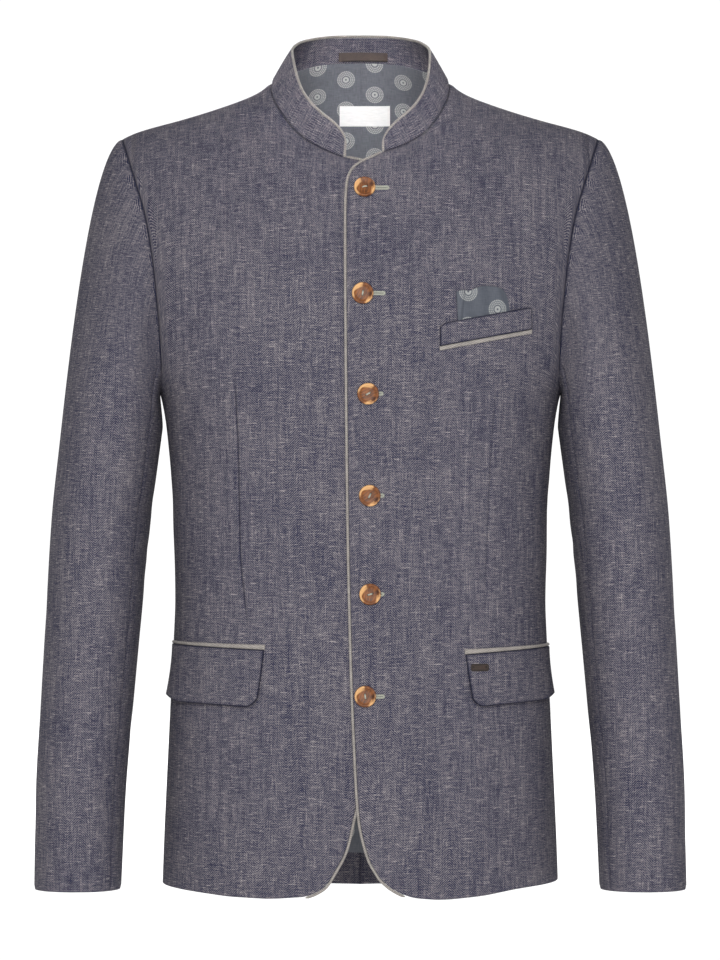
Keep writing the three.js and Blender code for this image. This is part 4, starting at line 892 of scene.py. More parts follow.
# Collar
def collar_grid(panels, thickness, piping_width):
    """The stand collar between the neck seam and its own top line, less the piping on it."""
    def neck_of(side):
        places = panels[side]["places"]
        nf, ns = FRONT_STEPS["neck_front"] * FINE, FRONT_STEPS["neck_side"] * FINE
        line = np.concatenate([places[-1 - nf:-1, 0], places[-1, :ns + 1]])
        return panel_point(HALVES["front"], line[:, 0], line[:, 1], 0.0, LAP[side])[0]

    back = panels["back"]["places"][-1, :BACK_STEPS["neck"] * FINE + 1]
    back = panel_point(HALVES["back"], back[:, 0], back[:, 1])[0]
    flip = np.array([-1, 1, 1])
    base = np.concatenate([neck_of("right") * flip, back[:-1][::-1] * flip, back[1:-1],
                           neck_of("left")[::-1]])
    run = run_along(base)
    share = run / run[-1]
    sign = np.where(share < 0.5, -1, 1)
    along = 1 - np.abs(1 - 2 * share)
    at = trace(COLLAR_TOP)(along)
    shift = NECK_CENTRE_X * (1 - smooth_step(0, COLLAR["centre_fade"], along))
    top = np.stack([sign * at[:, 0] + shift, at[:, 1], at[:, 2]], -1)
    rise = top - base
    length = np.linalg.norm(rise, axis=-1, keepdims=True)
    up = rise / length
    outward = unit(np.cross(np.gradient(base, axis=0), up))
    wrong = (outward[:, 0] * base[:, 0] + outward[:, 1] * base[:, 1]) < 0
    outward[wrong] *= -1
    reach = length * (1 - piping_width / length) - COLLAR["top_gap"]
    rows = []
    for level in COLLAR_ROWS:
        roll = COLLAR["roll"] * math.exp(-((level - COLLAR["roll_at"]) / COLLAR["roll_span"]) ** 2)
        bulge = COLLAR["bulge"] * math.sin(math.pi * level) + roll
        foot = SEAM_DIP * max(1 - level * float(length.mean()) / SEAM_REACH, 0) ** 2
        rows.append(base + up * COLLAR["foot_gap"] + up * reach * level + outward * (bulge - foot))
    outer = np.array(rows)
    normal = np.tile(outward, (len(rows), 1, 1))
    u = np.tile(run - run[-1] / 2, (len(rows), 1))
    v = COLLAR_ROWS[:, None] * length[:, 0][None]
    # Shade is painted along the neck seam at the collar's foot
    shade = PAINTED_SEAM_SHADE["neck"] * painted_shade_at(v)
    return {"outer": outer, "inner": outer - normal * thickness, "normal": normal, "up": up,
            "uv": np.stack([u, v], -1) * MM, "shade": shade}


# Small pieces that lie on a front
def patch(context, name, side, place, cells, lift, thickness, soft, finish, painted_dent_shade=None):
    """A small wall laid on a front, with its rim drawn down to the cloth under it."""
    sign = 1 if side == "left" else -1
    u, v = np.meshgrid(*[close_steps(count, (0.15, 0.4)) / count for count in cells])
    x, z, raised = place(u, v)
    under, normal = front_point(side, x, z, lift + raised)
    from_rim = to_rim(under)
    full = PATCH_RIM + (1 - PATCH_RIM) * quarter_round(from_rim / soft)
    outer = under + normal * (thickness * full)[..., None]
    uv = cloth_places(under, HALVES["front"])
    uv[..., 1] = under[..., 2] * MM
    # Shade is painted along the rim, and in dents where they are given
    shade = PAINTED_RIM_SHADE * painted_shade_at(from_rim)
    if painted_dent_shade:
        shade = np.maximum(shade, painted_dent_shade(x, z))
    grid = mirrored({"outer": outer, "inner": under, "normal": normal, "uv": uv, "shade": shade}, sign)
    cloth_piece(context, name, grid, finish)


def corner_cut(share, depth, span):
    """How far a corner is rounded off, at a share of the edge's length from it."""
    return depth * np.maximum(1 - share / span, 0) ** 2


def flap_place(flap):
    def place(u, v):
        down = 1 - v
        x = flap["inner"] + (flap["foot"] - flap["inner"]) * down
        x = x + (flap["outer"] - x) * u
        top = flap["inner_z"] + (flap["outer_z"] - flap["inner_z"]) * u
        span = FLAP_CORNER["span"]
        cut = corner_cut(u, FLAP_CORNER["inner"], span) + corner_cut(1 - u, FLAP_CORNER["outer"], span)
        raised = (FLAP_STAND["foot"] + FLAP_STAND["corner"] * (1 - u) ** 8) * down ** 2
        raised = raised + FLAP_STAND["wave"] * np.sin(3.2 * u + 0.6) * down
        raised = raised + flap["spring"] * smooth_step(FLAP_STAND["spring_from"], 1.0, u) * down ** 1.5
        return x, top - flap["drop"] * down * (1 - cut), raised
    return place


def welt_top(x):
    share = (x - WELT["inner"]) / (WELT["outer"] - WELT["inner"])
    return WELT["inner_z"] + (WELT["outer_z"] - WELT["inner_z"]) * share + WELT["height"]


def welt_place(u, v):
    x = WELT["inner"] + (WELT["outer"] - WELT["inner"]) * u
    corner = corner_cut(u, *WELT_CORNERS["inner"]) + corner_cut(1 - u, *WELT_CORNERS["outer"])
    foot = welt_top(x) - WELT["height"]
    return x, foot + (WELT["height"] - corner) * v, WELT["puff"] * v * np.sin(np.pi * u)


def square_place(u, v):
    fold, puff, ripple, ridge = SQUARE_FOLD, SQUARE_PUFF, SQUARE_RIPPLE, SQUARE_RIDGE
    x = SQUARE["inner"] + (SQUARE["outer"] - SQUARE["inner"]) * u
    top = read_table(*np.array(SQUARE_TOP).T)(x)
    foot = welt_top(x) - SQUARE["tucked"]
    z = foot + (top - foot) * v
    past_fold = x - (fold["x"] + fold["lean"] * (z - fold["z"]))
    raised = fold["height"] * smooth_step(fold["half_width"], -fold["half_width"], past_fold)
    raised = raised + puff["height"] * hill(x - puff["x"], puff["half_width"]) * v ** 2
    raised = raised + ripple["height"] * np.sin(ripple["across"] * x + ripple["along"] * z) * v
    off_ridge = x - ridge["x"] + ridge["lean"] * (z - ridge["z"])
    raised = raised + ridge["height"] * hill(off_ridge, ridge["half_width"])
    return x - SQUARE["lean"] * v * (1 - u), z, SQUARE["raised"] + raised


# Materials
class Tree:
    """Short calls for building one material's nodes."""

    def __init__(self, name):
        self.material = bpy.data.materials.new(name)
        self.material.use_nodes = True
        self.nodes = self.material.node_tree.nodes
        self.links = self.material.node_tree.links
        self.shader = self.nodes["Principled BSDF"]

    def node(self, kind, **values):
        made = self.nodes.new(kind)
        for key, value in values.items():
            setattr(made, key, value)
        return made

    def put(self, socket, value):
        if isinstance(value, bpy.types.NodeSocket):
            self.links.new(value, socket)
        else:
            socket.default_value = value

    def math(self, operation, first, second=0.0, third=None):
        made = self.node("ShaderNodeMath", operation=operation)
        self.put(made.inputs[0], first)
        self.put(made.inputs[1], second)
        if third is not None:
            self.put(made.inputs[2], third)
        return made.outputs[0]
    def add(self, first, second):
        return self.math("ADD", first, second)

    def less(self, first, second):
        return self.math("SUBTRACT", first, second)

    def times(self, first, second):
        return self.math("MULTIPLY", first, second)

    def over(self, first, second):
        return self.math("DIVIDE", first, second)

    def wave(self, phase):
        """A sine of whole turns, from 0 to 1."""
        return self.ramp(self.math("SINE", self.times(phase, 2 * math.pi)), -1, 1)

    def held(self, name):
        """A value kept on the mesh."""
        return self.node("ShaderNodeAttribute", attribute_name=name).outputs["Fac"]

    def places(self):
        """The flat cloth's own two directions, in metres."""
        split = self.node("ShaderNodeSeparateXYZ")
        self.links.new(self.node("ShaderNodeTexCoord").outputs["UV"], split.inputs[0])
        return split.outputs[0], split.outputs[1]

    def noise(self, u, v, across, along, detail=2.0, rough=0.6, seed=0.0):
        join = self.node("ShaderNodeCombineXYZ")
        self.put(join.inputs[0], self.math("MULTIPLY", u, across))
        self.put(join.inputs[1], self.math("MULTIPLY", v, along))
        join.inputs[2].default_value = seed
        made = self.node("ShaderNodeTexNoise")
        made.inputs["Scale"].default_value = 1.0
        made.inputs["Detail"].default_value = detail
        made.inputs["Roughness"].default_value = rough
        self.links.new(join.outputs[0], made.inputs["Vector"])
        return made.outputs[0]

    def object_noise(self, scale):
        made = self.node("ShaderNodeTexNoise")
        made.inputs["Scale"].default_value = scale
        self.links.new(self.node("ShaderNodeTexCoord").outputs["Object"], made.inputs["Vector"])
        return made.outputs[0]

    def ramp(self, value, low, high, out_low=0.0, out_high=1.0):
        made = self.node("ShaderNodeMapRange")
        for socket, number in zip(made.inputs[1:5], (low, high, out_low, out_high)):
            socket.default_value = number
        self.links.new(value, made.inputs[0])
        return made.outputs[0]

    def mix(self, share, first, second):
        made = self.node("ShaderNodeMix", data_type="RGBA")
        self.put(made.inputs[0], share)
        for socket, colour in ((made.inputs[6], first), (made.inputs[7], second)):
            if not isinstance(colour, bpy.types.NodeSocket):
                colour = tuple(colour)[:3] + (1.0,)
            self.put(socket, colour)
        return made.outputs[2]

    def bump(self, height, distance, strength=1.0):
        made = self.node("ShaderNodeBump")
        made.inputs["Strength"].default_value = strength
        made.inputs["Distance"].default_value = distance
        self.links.new(height, made.inputs["Height"])
        self.links.new(made.outputs[0], self.shader.inputs["Normal"])

    def finish(self, colour, roughness, sheen=0.0, specular=0.3):
        self.put(self.shader.inputs["Base Color"], colour)
        self.put(self.shader.inputs["Roughness"], roughness)
        self.shader.inputs["Sheen Weight"].default_value = sheen
        self.shader.inputs["Specular IOR Level"].default_value = specular
        return self.material


YARNS = {
    # cells a metre across and along, detail, roughness, seed and weight in the cloth's tone
    "weft": (70, 1000, 3, 0.7, 1.0, 1.1), "warp": (900, 45, 3, 0.7, 2.0, 0.85),
    "nap": (620, 620, 2, 0.6, 6.0, 0.7), "flecks": (110, 900, 2, 0.6, 3.0, 0.55),
    "strings": (800, 60, 2, 0.6, 4.0, 0.3), "broad": (210, 9, 2, 0.6, 17.0, 0.35),
    "clouds": (24, 18, 3, 0.6, 5.0, 0.3),
}
SLUBS = {"flecks": (0.58, 0.72), "strings": (0.58, 0.74)}
TWILL_WEIGHT = 0.55
# How far the painted shade dims the weave and blends it towards its near-black tone
PAINTED_SHADE_DIMMING = 0.75
PAINTED_SHADE_DARKENING = 0.45
PAINTED_SHADE_TONE = (0.004, 0.004, 0.007)


def herringbone(cloth):
    tree = Tree("herringbone_cloth")
    u, v = tree.places()
    local = tree.math("PINGPONG", tree.over(u, cloth.column_width), 1.0)
    lean = tree.over(tree.times(local, cloth.column_width), cloth.twill_pitch)
    wobble = tree.times(tree.noise(u, v, 240, 240, 1), 0.9)
    twill = tree.wave(tree.add(tree.add(tree.over(v, cloth.twill_pitch), lean), wobble))
    total = tree.times(twill, TWILL_WEIGHT)
    yarns = {}
    for name, (across, along, detail, rough, seed, weight) in YARNS.items():
        yarns[name] = tree.noise(u, v, across, along, detail, rough, seed)
        if name in SLUBS:
            yarns[name] = tree.ramp(yarns[name], *SLUBS[name])
        total = tree.add(total, tree.times(yarns[name], weight))
    # Painted shade: where the painted seam shade is set, the weave is dimmed and blended towards near black
    seam = tree.held("painted_seam_shade")
    lit = tree.less(1.0, tree.times(seam, PAINTED_SHADE_DIMMING))
    share = tree.times(tree.ramp(total, cloth.weave_low, cloth.weave_high), lit)
    tree.bump(tree.add(tree.times(twill, 0.6), tree.add(yarns["weft"], yarns["warp"])), 0.0004, 0.8)
    yarn = tree.mix(share, cloth.dark_thread, cloth.pale_thread)
    tone = tree.mix(tree.times(seam, PAINTED_SHADE_DARKENING), yarn, PAINTED_SHADE_TONE)
    return tree.finish(tone, 0.94, specular=0.15)


def ring_lining(cloth):
    return ringed("ring_lining", cloth, cloth.lining_dark, cloth.lining_pale, 0.7)


# The pocket square is the lining's cloth, given darker tones as painted shade
def shaded_ring_square(cloth):
    return ringed("shaded_ring_square", cloth, cloth.shaded_square_dark, cloth.shaded_square_pale, 0.34)


# The print's own rings: radius, half width and number of dashes, as shares of the spacing
PRINTED_RINGS = ((0.285, 0.016, 30), (0.225, 0.014, 24), (0.165, 0.016, 18), (0.07, 0.03, 0))
RING_ROWS = 1.12
RING_SOFTNESS = 0.012


def ringed(name, cloth, shade, ground_tone, print_strength):
    """A plain weave with dashed rings printed on it in a half-drop layout."""
    tree = Tree(name)
    u, v = tree.places()
    column = tree.over(u, cloth.ring_spacing)
    half_drop = tree.times(tree.math("PINGPONG", tree.math("FLOOR", column), 1.0), 0.5)
    row = tree.add(tree.over(v, cloth.ring_spacing * RING_ROWS), half_drop)
    x = tree.less(tree.math("FRACT", column), 0.5)
    y = tree.times(tree.less(tree.math("FRACT", row), 0.5), RING_ROWS)
    reach = tree.math("SQRT", tree.add(tree.times(x, x), tree.times(y, y)))
    turn = tree.math("ARCTAN2", y, x)
    marks = None
    for radius, width, dashes in PRINTED_RINGS:
        band = tree.ramp(tree.math("ABSOLUTE", tree.less(reach, radius)), width, width + RING_SOFTNESS, 1, 0)
        if dashes:
            dash = tree.math("SINE", tree.times(turn, float(dashes)))
            band = tree.times(band, tree.ramp(dash, -0.7, 0.1, 0.25, 1))
        marks = band if marks is None else tree.math("MAXIMUM", marks, band)
    weft = tree.noise(u, v, 120, 1700, 2, 0.6, 7.0)
    warp = tree.noise(u, v, 1700, 120, 2, 0.6, 8.0)
    weave = tree.add(weft, warp)
    ground = tree.mix(tree.ramp(weave, 0.6, 1.4), shade, ground_tone)
    tree.bump(weave, 0.0002, 0.5)
    colour = tree.mix(tree.times(marks, print_strength), ground, cloth.ring_colour)
    return tree.finish(colour, 0.62, sheen=0.1, specular=0.35)


PIPING_TWIST = {"along": 0.0017, "around": 0.004}


def piping_cloth(cloth):
    tree = Tree("piping_cloth")
    u, v = tree.places()
    twist = tree.wave(tree.add(tree.over(v, PIPING_TWIST["along"]), tree.over(u, PIPING_TWIST["around"])))
    fibre = tree.noise(u, v, 900, 900, 2, 0.6, 9.0)
    long = tree.noise(u, v, 90, 90, 2, 0.6, 10.0)
    total = tree.add(tree.times(twist, 0.35), tree.add(fibre, tree.times(long, 0.6)))
    tree.bump(tree.add(twist, fibre), 0.0002, 0.6)
    share = tree.ramp(total, 0.6, 1.3)
    colour = tree.mix(share, cloth.piping_shade, cloth.piping_colour)
    return tree.finish(colour, 0.9, sheen=0.1, specular=0.2)


HORN_PALE = {"middle": 0.12, "from": 0.56, "to": 0.78, "strength": 0.85}


def horn(cloth):
    tree = Tree("streaked_horn")
    p, q = tree.places()
    grain = tree.noise(p, q, 1.4, 9.0, 4, 0.65, 11.0)
    cloud = tree.less(tree.noise(p, q, 1.3, 1.3, 2, 0.5, 12.0), 0.5)
    bent = tree.add(q, tree.times(cloud, 1.5))
    off = tree.math("ABSOLUTE", tree.less(bent, HORN_PALE["middle"]))
    pale = tree.ramp(off, HORN_PALE["from"], HORN_PALE["to"])
    streaks = tree.ramp(tree.add(grain, tree.times(cloud, 0.6)), 0.32, 0.66)
    core = tree.mix(streaks, cloth.horn_dark, cloth.horn_pale)
    tree.bump(grain, 0.00008, 0.4)
    colour = tree.mix(tree.times(pale, HORN_PALE["strength"]), core, cloth.horn_rim)
    return tree.finish(colour, tree.ramp(grain, 0.2, 0.8, 0.42, 0.58))


def leather(cloth):
    tree = Tree("brown_leather")
    u, v = tree.places()
    pores = tree.noise(u, v, 900, 900, 3, 0.65, 13.0)
    wear = tree.noise(u, v, 120, 120, 3, 0.6, 14.0)
    # Shade is painted at the rims and in the needle holes, from the painted seam shade
    share = tree.less(tree.ramp(tree.add(pores, wear), 0.6, 1.4), tree.held("painted_seam_shade"))
    tree.bump(pores, 0.00025, 0.8)
    return tree.finish(tree.mix(share, cloth.leather_dark, cloth.leather_colour), 0.6, specular=0.35)


LABEL_RIB = 0.0006


def label_satin(cloth):
    tree = Tree("label_satin")
    u, v = tree.places()
    ribs = tree.wave(tree.over(v, LABEL_RIB))
    soft = tree.noise(u, v, 160, 700, 2, 0.6, 15.0)
    share = tree.ramp(tree.add(tree.times(ribs, 0.3), soft), 0.3, 1.0)
    tree.bump(tree.add(ribs, soft), 0.0001, 0.4)
    return tree.finish(tree.mix(share, cloth.label_shade, cloth.label_colour), 0.5, sheen=0.1, specular=0.4)


def thread(cloth):
    tree = Tree("silk_thread")
    fibre = tree.object_noise(2200.0)
    tree.bump(fibre, 0.0001, 0.6)
    colour = tree.mix(fibre, cloth.thread_shade, cloth.thread_colour)
    return tree.finish(colour, 0.55, sheen=0.1, specular=0.4)


FINISHES = {"cloth": herringbone, "lining": ring_lining, "square": shaded_ring_square, "piping": piping_cloth,
            "horn": horn, "leather": leather, "label": label_satin, "thread": thread}
made_finishes = {}


def finish_of(context, name):
    if name not in made_finishes:
        made_finishes[name] = FINISHES[name](context.scene.jacket_cloth)
    return made_finishes[name]


# Sewing
def stitch_tree():
    """Short threads set across a line, each along the line's own aim, as one reusable tree."""
    tree = bpy.data.node_groups.new("cross_stitches", "GeometryNodeTree")
    face = tree.interface
    face.new_socket("Geometry", in_out="INPUT", socket_type="NodeSocketGeometry")
    for name, value in STITCH.items():
        face.new_socket(name, in_out="INPUT", socket_type="NodeSocketFloat").default_value = value
    face.new_socket("Thread", in_out="INPUT", socket_type="NodeSocketMaterial")
    face.new_socket("Geometry", in_out="OUTPUT", socket_type="NodeSocketGeometry")
    new = tree.nodes.new
    given, result = new("NodeGroupInput"), new("NodeGroupOutput")
    curve = new("GeometryNodeMeshToCurve")
    even_out = new("GeometryNodeResampleCurve")
    even_out.mode = "LENGTH"
    stitch = new("GeometryNodeMeshCylinder")
    stitch.inputs["Vertices"].default_value = 6
    aim = new("GeometryNodeInputNamedAttribute")
    aim.data_type = "FLOAT_VECTOR"
    aim.inputs["Name"].default_value = "aim"
    turn = new("FunctionNodeAlignRotationToVector")
    turn.axis = "Z"
    place = new("GeometryNodeInstanceOnPoints")
    real = new("GeometryNodeRealizeInstances")
    paint = new("GeometryNodeSetMaterial")
    for start, leaving, end, entering in (
            (given, "Geometry", curve, "Mesh"), (curve, "Curve", even_out, "Curve"),
            (given, "Spacing", even_out, "Length"), (given, "Thread Radius", stitch, "Radius"),
            (given, "Stitch Length", stitch, "Depth"), (even_out, "Curve", place, "Points"),
            (stitch, "Mesh", place, "Instance"), (aim, "Attribute", turn, "Vector"),
            (turn, "Rotation", place, "Rotation"), (place, "Instances", real, "Geometry"),
            (real, "Geometry", paint, "Geometry"), (given, "Thread", paint, "Material"),
            (paint, "Geometry", result, "Geometry")):
        tree.links.new(start.outputs[leaving], end.inputs[entering])
    return tree


def sew(context, name, lines, aims):
    """Stitches along lines of points, made with the stitch tree and kept as a plain mesh."""
    verts, edges, aim = [], [], []
    for line, across in zip(lines, aims):
        start = len(verts)
        verts += [tuple(np.asarray(p) * MM) for p in line]
        aim += [tuple(a) for a in across]
        edges += [(start + k, start + k + 1) for k in range(len(line) - 1)]
    mesh = bpy.data.meshes.new(name + "_lines")
    mesh.from_pydata(verts, edges, [])
    layer = mesh.attributes.new("aim", "FLOAT_VECTOR", "POINT")
    layer.data.foreach_set("vector", np.array(aim, np.float32).ravel())
    guide = new_object(name + "_lines", mesh)
    tree = bpy.data.node_groups.get("cross_stitches") or stitch_tree()
    modifier = guide.modifiers.new("stitches", "NODES")
    modifier.node_group = tree
    values = {**STITCH, "Thread": finish_of(context, "thread")}
    for socket in tree.interface.items_tree:
        if socket.in_out == "INPUT" and socket.name in values:
            modifier[socket.identifier] = values[socket.name]
    context.view_layer.update()
    ready = guide.evaluated_get(context.evaluated_depsgraph_get())
    plain = bpy.data.meshes.new_from_object(ready)
    bpy.data.objects.remove(guide)
    if not len(plain.polygons):
        raise RuntimeError(f"{name}: the stitches came out empty")
    plain.name = name
    plain.polygons.foreach_set("use_smooth", [True] * len(plain.polygons))
    piece = new_object(name, plain)
    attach(piece, "root")
    return piece


def surface_line(side, points, lift):
    """Places on a front, their outward direction, and both mirrored to the side that they are on."""
    sign = np.array([1 if side == "left" else -1, 1, 1])
    points = np.array(points, float)
    place, normal = front_point(side, points[:, 0], points[:, 1], lift)
    return place * sign, normal * sign


def cut_of(grid):
    """What a piece was cut to: its flat width and length in metres, and its flat area."""
    outer = grid["outer"] * MM
    first = outer[1:, 1:] - outer[:-1, :-1]
    second = outer[1:, :-1] - outer[:-1, 1:]
    area = float(np.linalg.norm(np.cross(first, second), axis=-1).sum() / 2)
    sizes = []
    for k in (0, 1):
        along = np.linalg.norm(np.diff(outer, axis=1 - k), axis=-1).sum(1 - k).max()
        sizes.append(max(min(float(np.ptp(grid["uv"][..., k])), float(along)), NARROWEST))
    width, length = sizes
    length = max(length, area / (0.99 * width))
    return (width, length), area


def cloth_piece(context, name, grid, finish):
    """One cut piece as a closed wall, with what it was cut to worked out."""
    piece = wall(name, grid, finish_of(context, finish))
    flat, area = cut_of(grid)


def button_mesh(radius, thickness, turn):
    """A turned disc with a raised rim, its two sewing holes cut through, lying flat and facing up."""
    shape = bmesh.new()
    rings = []
    angles = [2 * math.pi * k / BUTTON_SIDES for k in range(BUTTON_SIDES)]
    for r, h in BUTTON_PROFILE:
        if r == 0.0:
            rings.append([shape.verts.new((0, 0, h * thickness))])
            continue
        reach = r * radius
        level = h * thickness
        rings.append([shape.verts.new((reach * math.cos(a), reach * math.sin(a), level)) for a in angles])
    for low, high in zip(rings, rings[1:]):
        for k in range(BUTTON_SIDES):
            n = (k + 1) % BUTTON_SIDES
            if len(low) == 1:
                shape.faces.new((low[0], high[n], high[k]))
            elif len(high) == 1:
                shape.faces.new((low[k], low[n], high[0]))
            else:
                shape.faces.new((low[k], low[n], high[n], high[k]))
    bmesh.ops.recalc_face_normals(shape, faces=shape.faces)
    disc = bpy.data.meshes.new("turned_disc")
    shape.to_mesh(disc)
    shape.free()
    drill = bmesh.new()
    for side in (-1, 1):
        x, y = side * HOLE_OFFSET * math.cos(turn), side * HOLE_OFFSET * math.sin(turn)
        made = bmesh.ops.create_cone(drill, cap_ends=True, segments=HOLE_SIDES, depth=DRILL_LENGTH,
                                     radius1=HOLE_RADIUS, radius2=HOLE_RADIUS)
        bmesh.ops.translate(drill, verts=made["verts"], vec=(x, y, 1))
    drill_mesh = bpy.data.meshes.new("drill")
    drill.to_mesh(drill_mesh)
    drill.free()
    disc_object, drill_object = new_object("turned_disc", disc), new_object("drill", drill_mesh)
    cut = disc_object.modifiers.new("holes", "BOOLEAN")
    cut.operation = "DIFFERENCE"
    cut.solver = "EXACT"
    cut.object = drill_object
    bpy.context.view_layer.update()
    ready = disc_object.evaluated_get(bpy.context.evaluated_depsgraph_get())
    result = bpy.data.meshes.new_from_object(ready)
    for made in (disc_object, drill_object):
        bpy.data.objects.remove(made)
    return result


def turned_to(normal):
    """Right, up and out directions of something laid flat on the cloth."""
    out = unit(np.asarray(normal, float))
    right = unit(np.cross([0.0, 0.0, 1.0], out) * -1)
    if right[0] < 0:
        right = -right
    up = unit(np.cross(out, right))
    if up[2] < 0:
        up = -up
    return right, up, out


# Sizes and colours that a user may change
def tint(red, green, blue):
    """A linear colour from the eight-bit tone that it looks like."""
    tones = (red, green, blue)
    return tuple((c / 255 / 12.92) if c <= 10 else ((c / 255 + 0.055) / 1.055) ** 2.4 for c in tones)


def colour(name, description, tone):
    return bpy.props.FloatVectorProperty(name=name, description=description, default=tint(*tone),
                                         subtype="COLOR", size=3, min=0, max=1)


def length(name, description, default, low=0.0001, high=0.1):
    return bpy.props.FloatProperty(name=name, description=description, default=default, min=low, max=high,
                                   unit="LENGTH", subtype="DISTANCE", precision=5)


def amount(name, description, default, high=5):
    return bpy.props.FloatProperty(name=name, description=description, default=default, min=0, max=high)


class JacketSizes(bpy.types.PropertyGroup):
    """Thicknesses and small sizes of the jacket's pieces."""

    cloth: length("Cloth thickness", "Thickness of the fronts, backs, sleeves and flaps", 0.002)
    collar: length("Collar thickness", "Thickness of the stand collar with its canvas", 0.0024)
    lining: length("Lining thickness", "Thickness of the back lining", 0.001)
    lining_space: length("Lining space", "From the cloth's outer face to the lining", 0.0028)
    turn_up: length("Hem turn-up", "Height of cloth that shows inside the back hem", 0.026)
    piping_radius: length("Piping radius", "Radius of the piping at the front edges and the collar", 0.00118)
    flap_piping: length("Flap piping height", "Height of the piping band above each pocket flap", 0.0044)
    welt_piping: length("Welt piping height", "Height of the piping band below the breast welt", 0.0036)
    button_radius: length("Button radius", "Radius of the horn buttons", 0.00935)
    button_height: length("Button height", "Height of a button's rim above the cloth", 0.0034)


class JacketCloth(bpy.types.PropertyGroup):
    """Weave sizes and colours of the jacket's materials."""

    column_width: length("Herringbone column", "Width of one column of the herringbone", 0.013)
    twill_pitch: length("Twill pitch", "Height from one twill line to the next", 0.0020)
    ring_spacing: length("Ring spacing", "Distance between the lining's printed rings", 0.027)
    dark_thread: colour("Dark thread", "Navy yarn of the herringbone", (26, 30, 55))
    pale_thread: colour("Pale thread", "Pale yarn of the herringbone", (150, 143, 143))
    weave_low: amount("Darkest weave", "Yarn sum that shows the dark thread alone", 1.71)
    weave_high: amount("Palest weave", "Yarn sum that shows the pale thread alone", 2.75)
    lining_dark: colour("Lining shade", "Darker tone of the lining's ground", (78, 81, 89))
    lining_pale: colour("Lining ground", "Paler tone of the lining's ground", (116, 118, 125))
    # The square's tones are the lining's, darkened as painted shade
    shaded_square_dark: colour("Square shade", "Darker tone of the pocket square", (50, 54, 64))
    shaded_square_pale: colour("Square ground", "Paler tone of the pocket square", (74, 78, 86))
    ring_colour: colour("Ring print", "Colour of the lining's printed rings", (204, 205, 199))
    piping_shade: colour("Piping shade", "Darker tone between the piping's twists", (96, 92, 90))
    piping_colour: colour("Piping", "Pale tone of the piping", (156, 150, 144))
    horn_dark: colour("Horn dark", "Dark streaks of the horn", (58, 28, 9))
    horn_pale: colour("Horn pale", "Pale streaks of the horn", (126, 74, 33))
    horn_rim: colour("Horn rim", "Pale crescent at a button's rim", (202, 156, 104))
    leather_dark: colour("Leather shade", "Dark tone of the loop and the tab", (34, 26, 22))
    leather_colour: colour("Leather", "Main tone of the loop and the tab", (66, 51, 44))
    label_shade: colour("Label shade", "Shaded tone of the blank label", (232, 232, 230))
    label_colour: colour("Label", "Main tone of the blank label", (252, 252, 250))
    thread_shade: colour("Thread shade", "Darker tone of the sewing thread", (118, 120, 110))
    thread_colour: colour("Thread", "Main tone of the sewing thread", (174, 175, 162))


class JacketStage(bpy.types.PropertyGroup):
    """Where the camera stands and how the light falls."""

    camera_distance: length("Camera distance", "From the camera to the jacket's middle", 5.0, 1, 20)
    camera_height: length("Camera height", "Height of the camera from the neck base", -0.3453, -2, 2)
    floor_height: length("Floor height", "Height of the floor from the neck base", -0.95, -3, -0.72)
    world_strength: amount("Surround", "Strength of the white surround", 1.06)
    room_strength: amount("Room", "Strength of the light from the other sides", 0.5)
    front_watts: amount("Front light", "Power of the large front light in watts", 86, 1000)
    neck_watts: amount("Neck light", "Power in watts of the narrow light into the neck", 0.13, 10)
    floor_watts: amount("Floor light", "Power in watts of the light behind the jacket", 320, 5000)
    floor_colour: colour("Floor", "Colour of the plain floor", (254, 254, 254))


grids = {}


def piping_room(context):
    """Width that the edge piping takes beyond the cloth, with room between them."""
    return 2 * context.scene.jacket_sizes.piping_radius / MM + PIPING_ROOM


def body_grid(name, context):
    """The grid of one front or back, worked out once and kept for the pieces that join it."""
    if name not in grids:
        half_name, side = name.split("_")
        if half_name == "front":
            lines, steps, lap = front_lines(CUTS[side], piping_room(context)), FRONT_STEPS, LAP[side]
        else:
            lines, steps, lap = back_lines(), BACK_STEPS, 0.0
        grids[name] = body_panel(name, lines, steps, context.scene.jacket_sizes.cloth / MM, lap)
    return grids[name]


SIGN = {"left": 1, "right": -1}


def body_pair(context, half_name):
    for side, sign in SIGN.items():
        name = f"{half_name}_{side}"
        grid = mirrored(body_grid(name, context), sign)
        cloth_piece(context, name, grid, "cloth")


class JACKET_OT_fronts(bpy.types.Operator):
    """Both fronts, with their darts and creases"""
    bl_idname = "jacket.fronts"
    bl_label = "Fronts"

    def execute(self, context):
        body_pair(context, "front")
        return {"FINISHED"}


class JACKET_OT_backs(bpy.types.Operator):
    """Both backs, joined in the middle"""
    bl_idname = "jacket.backs"
    bl_label = "Backs"

    def execute(self, context):
        body_pair(context, "back")
        return {"FINISHED"}


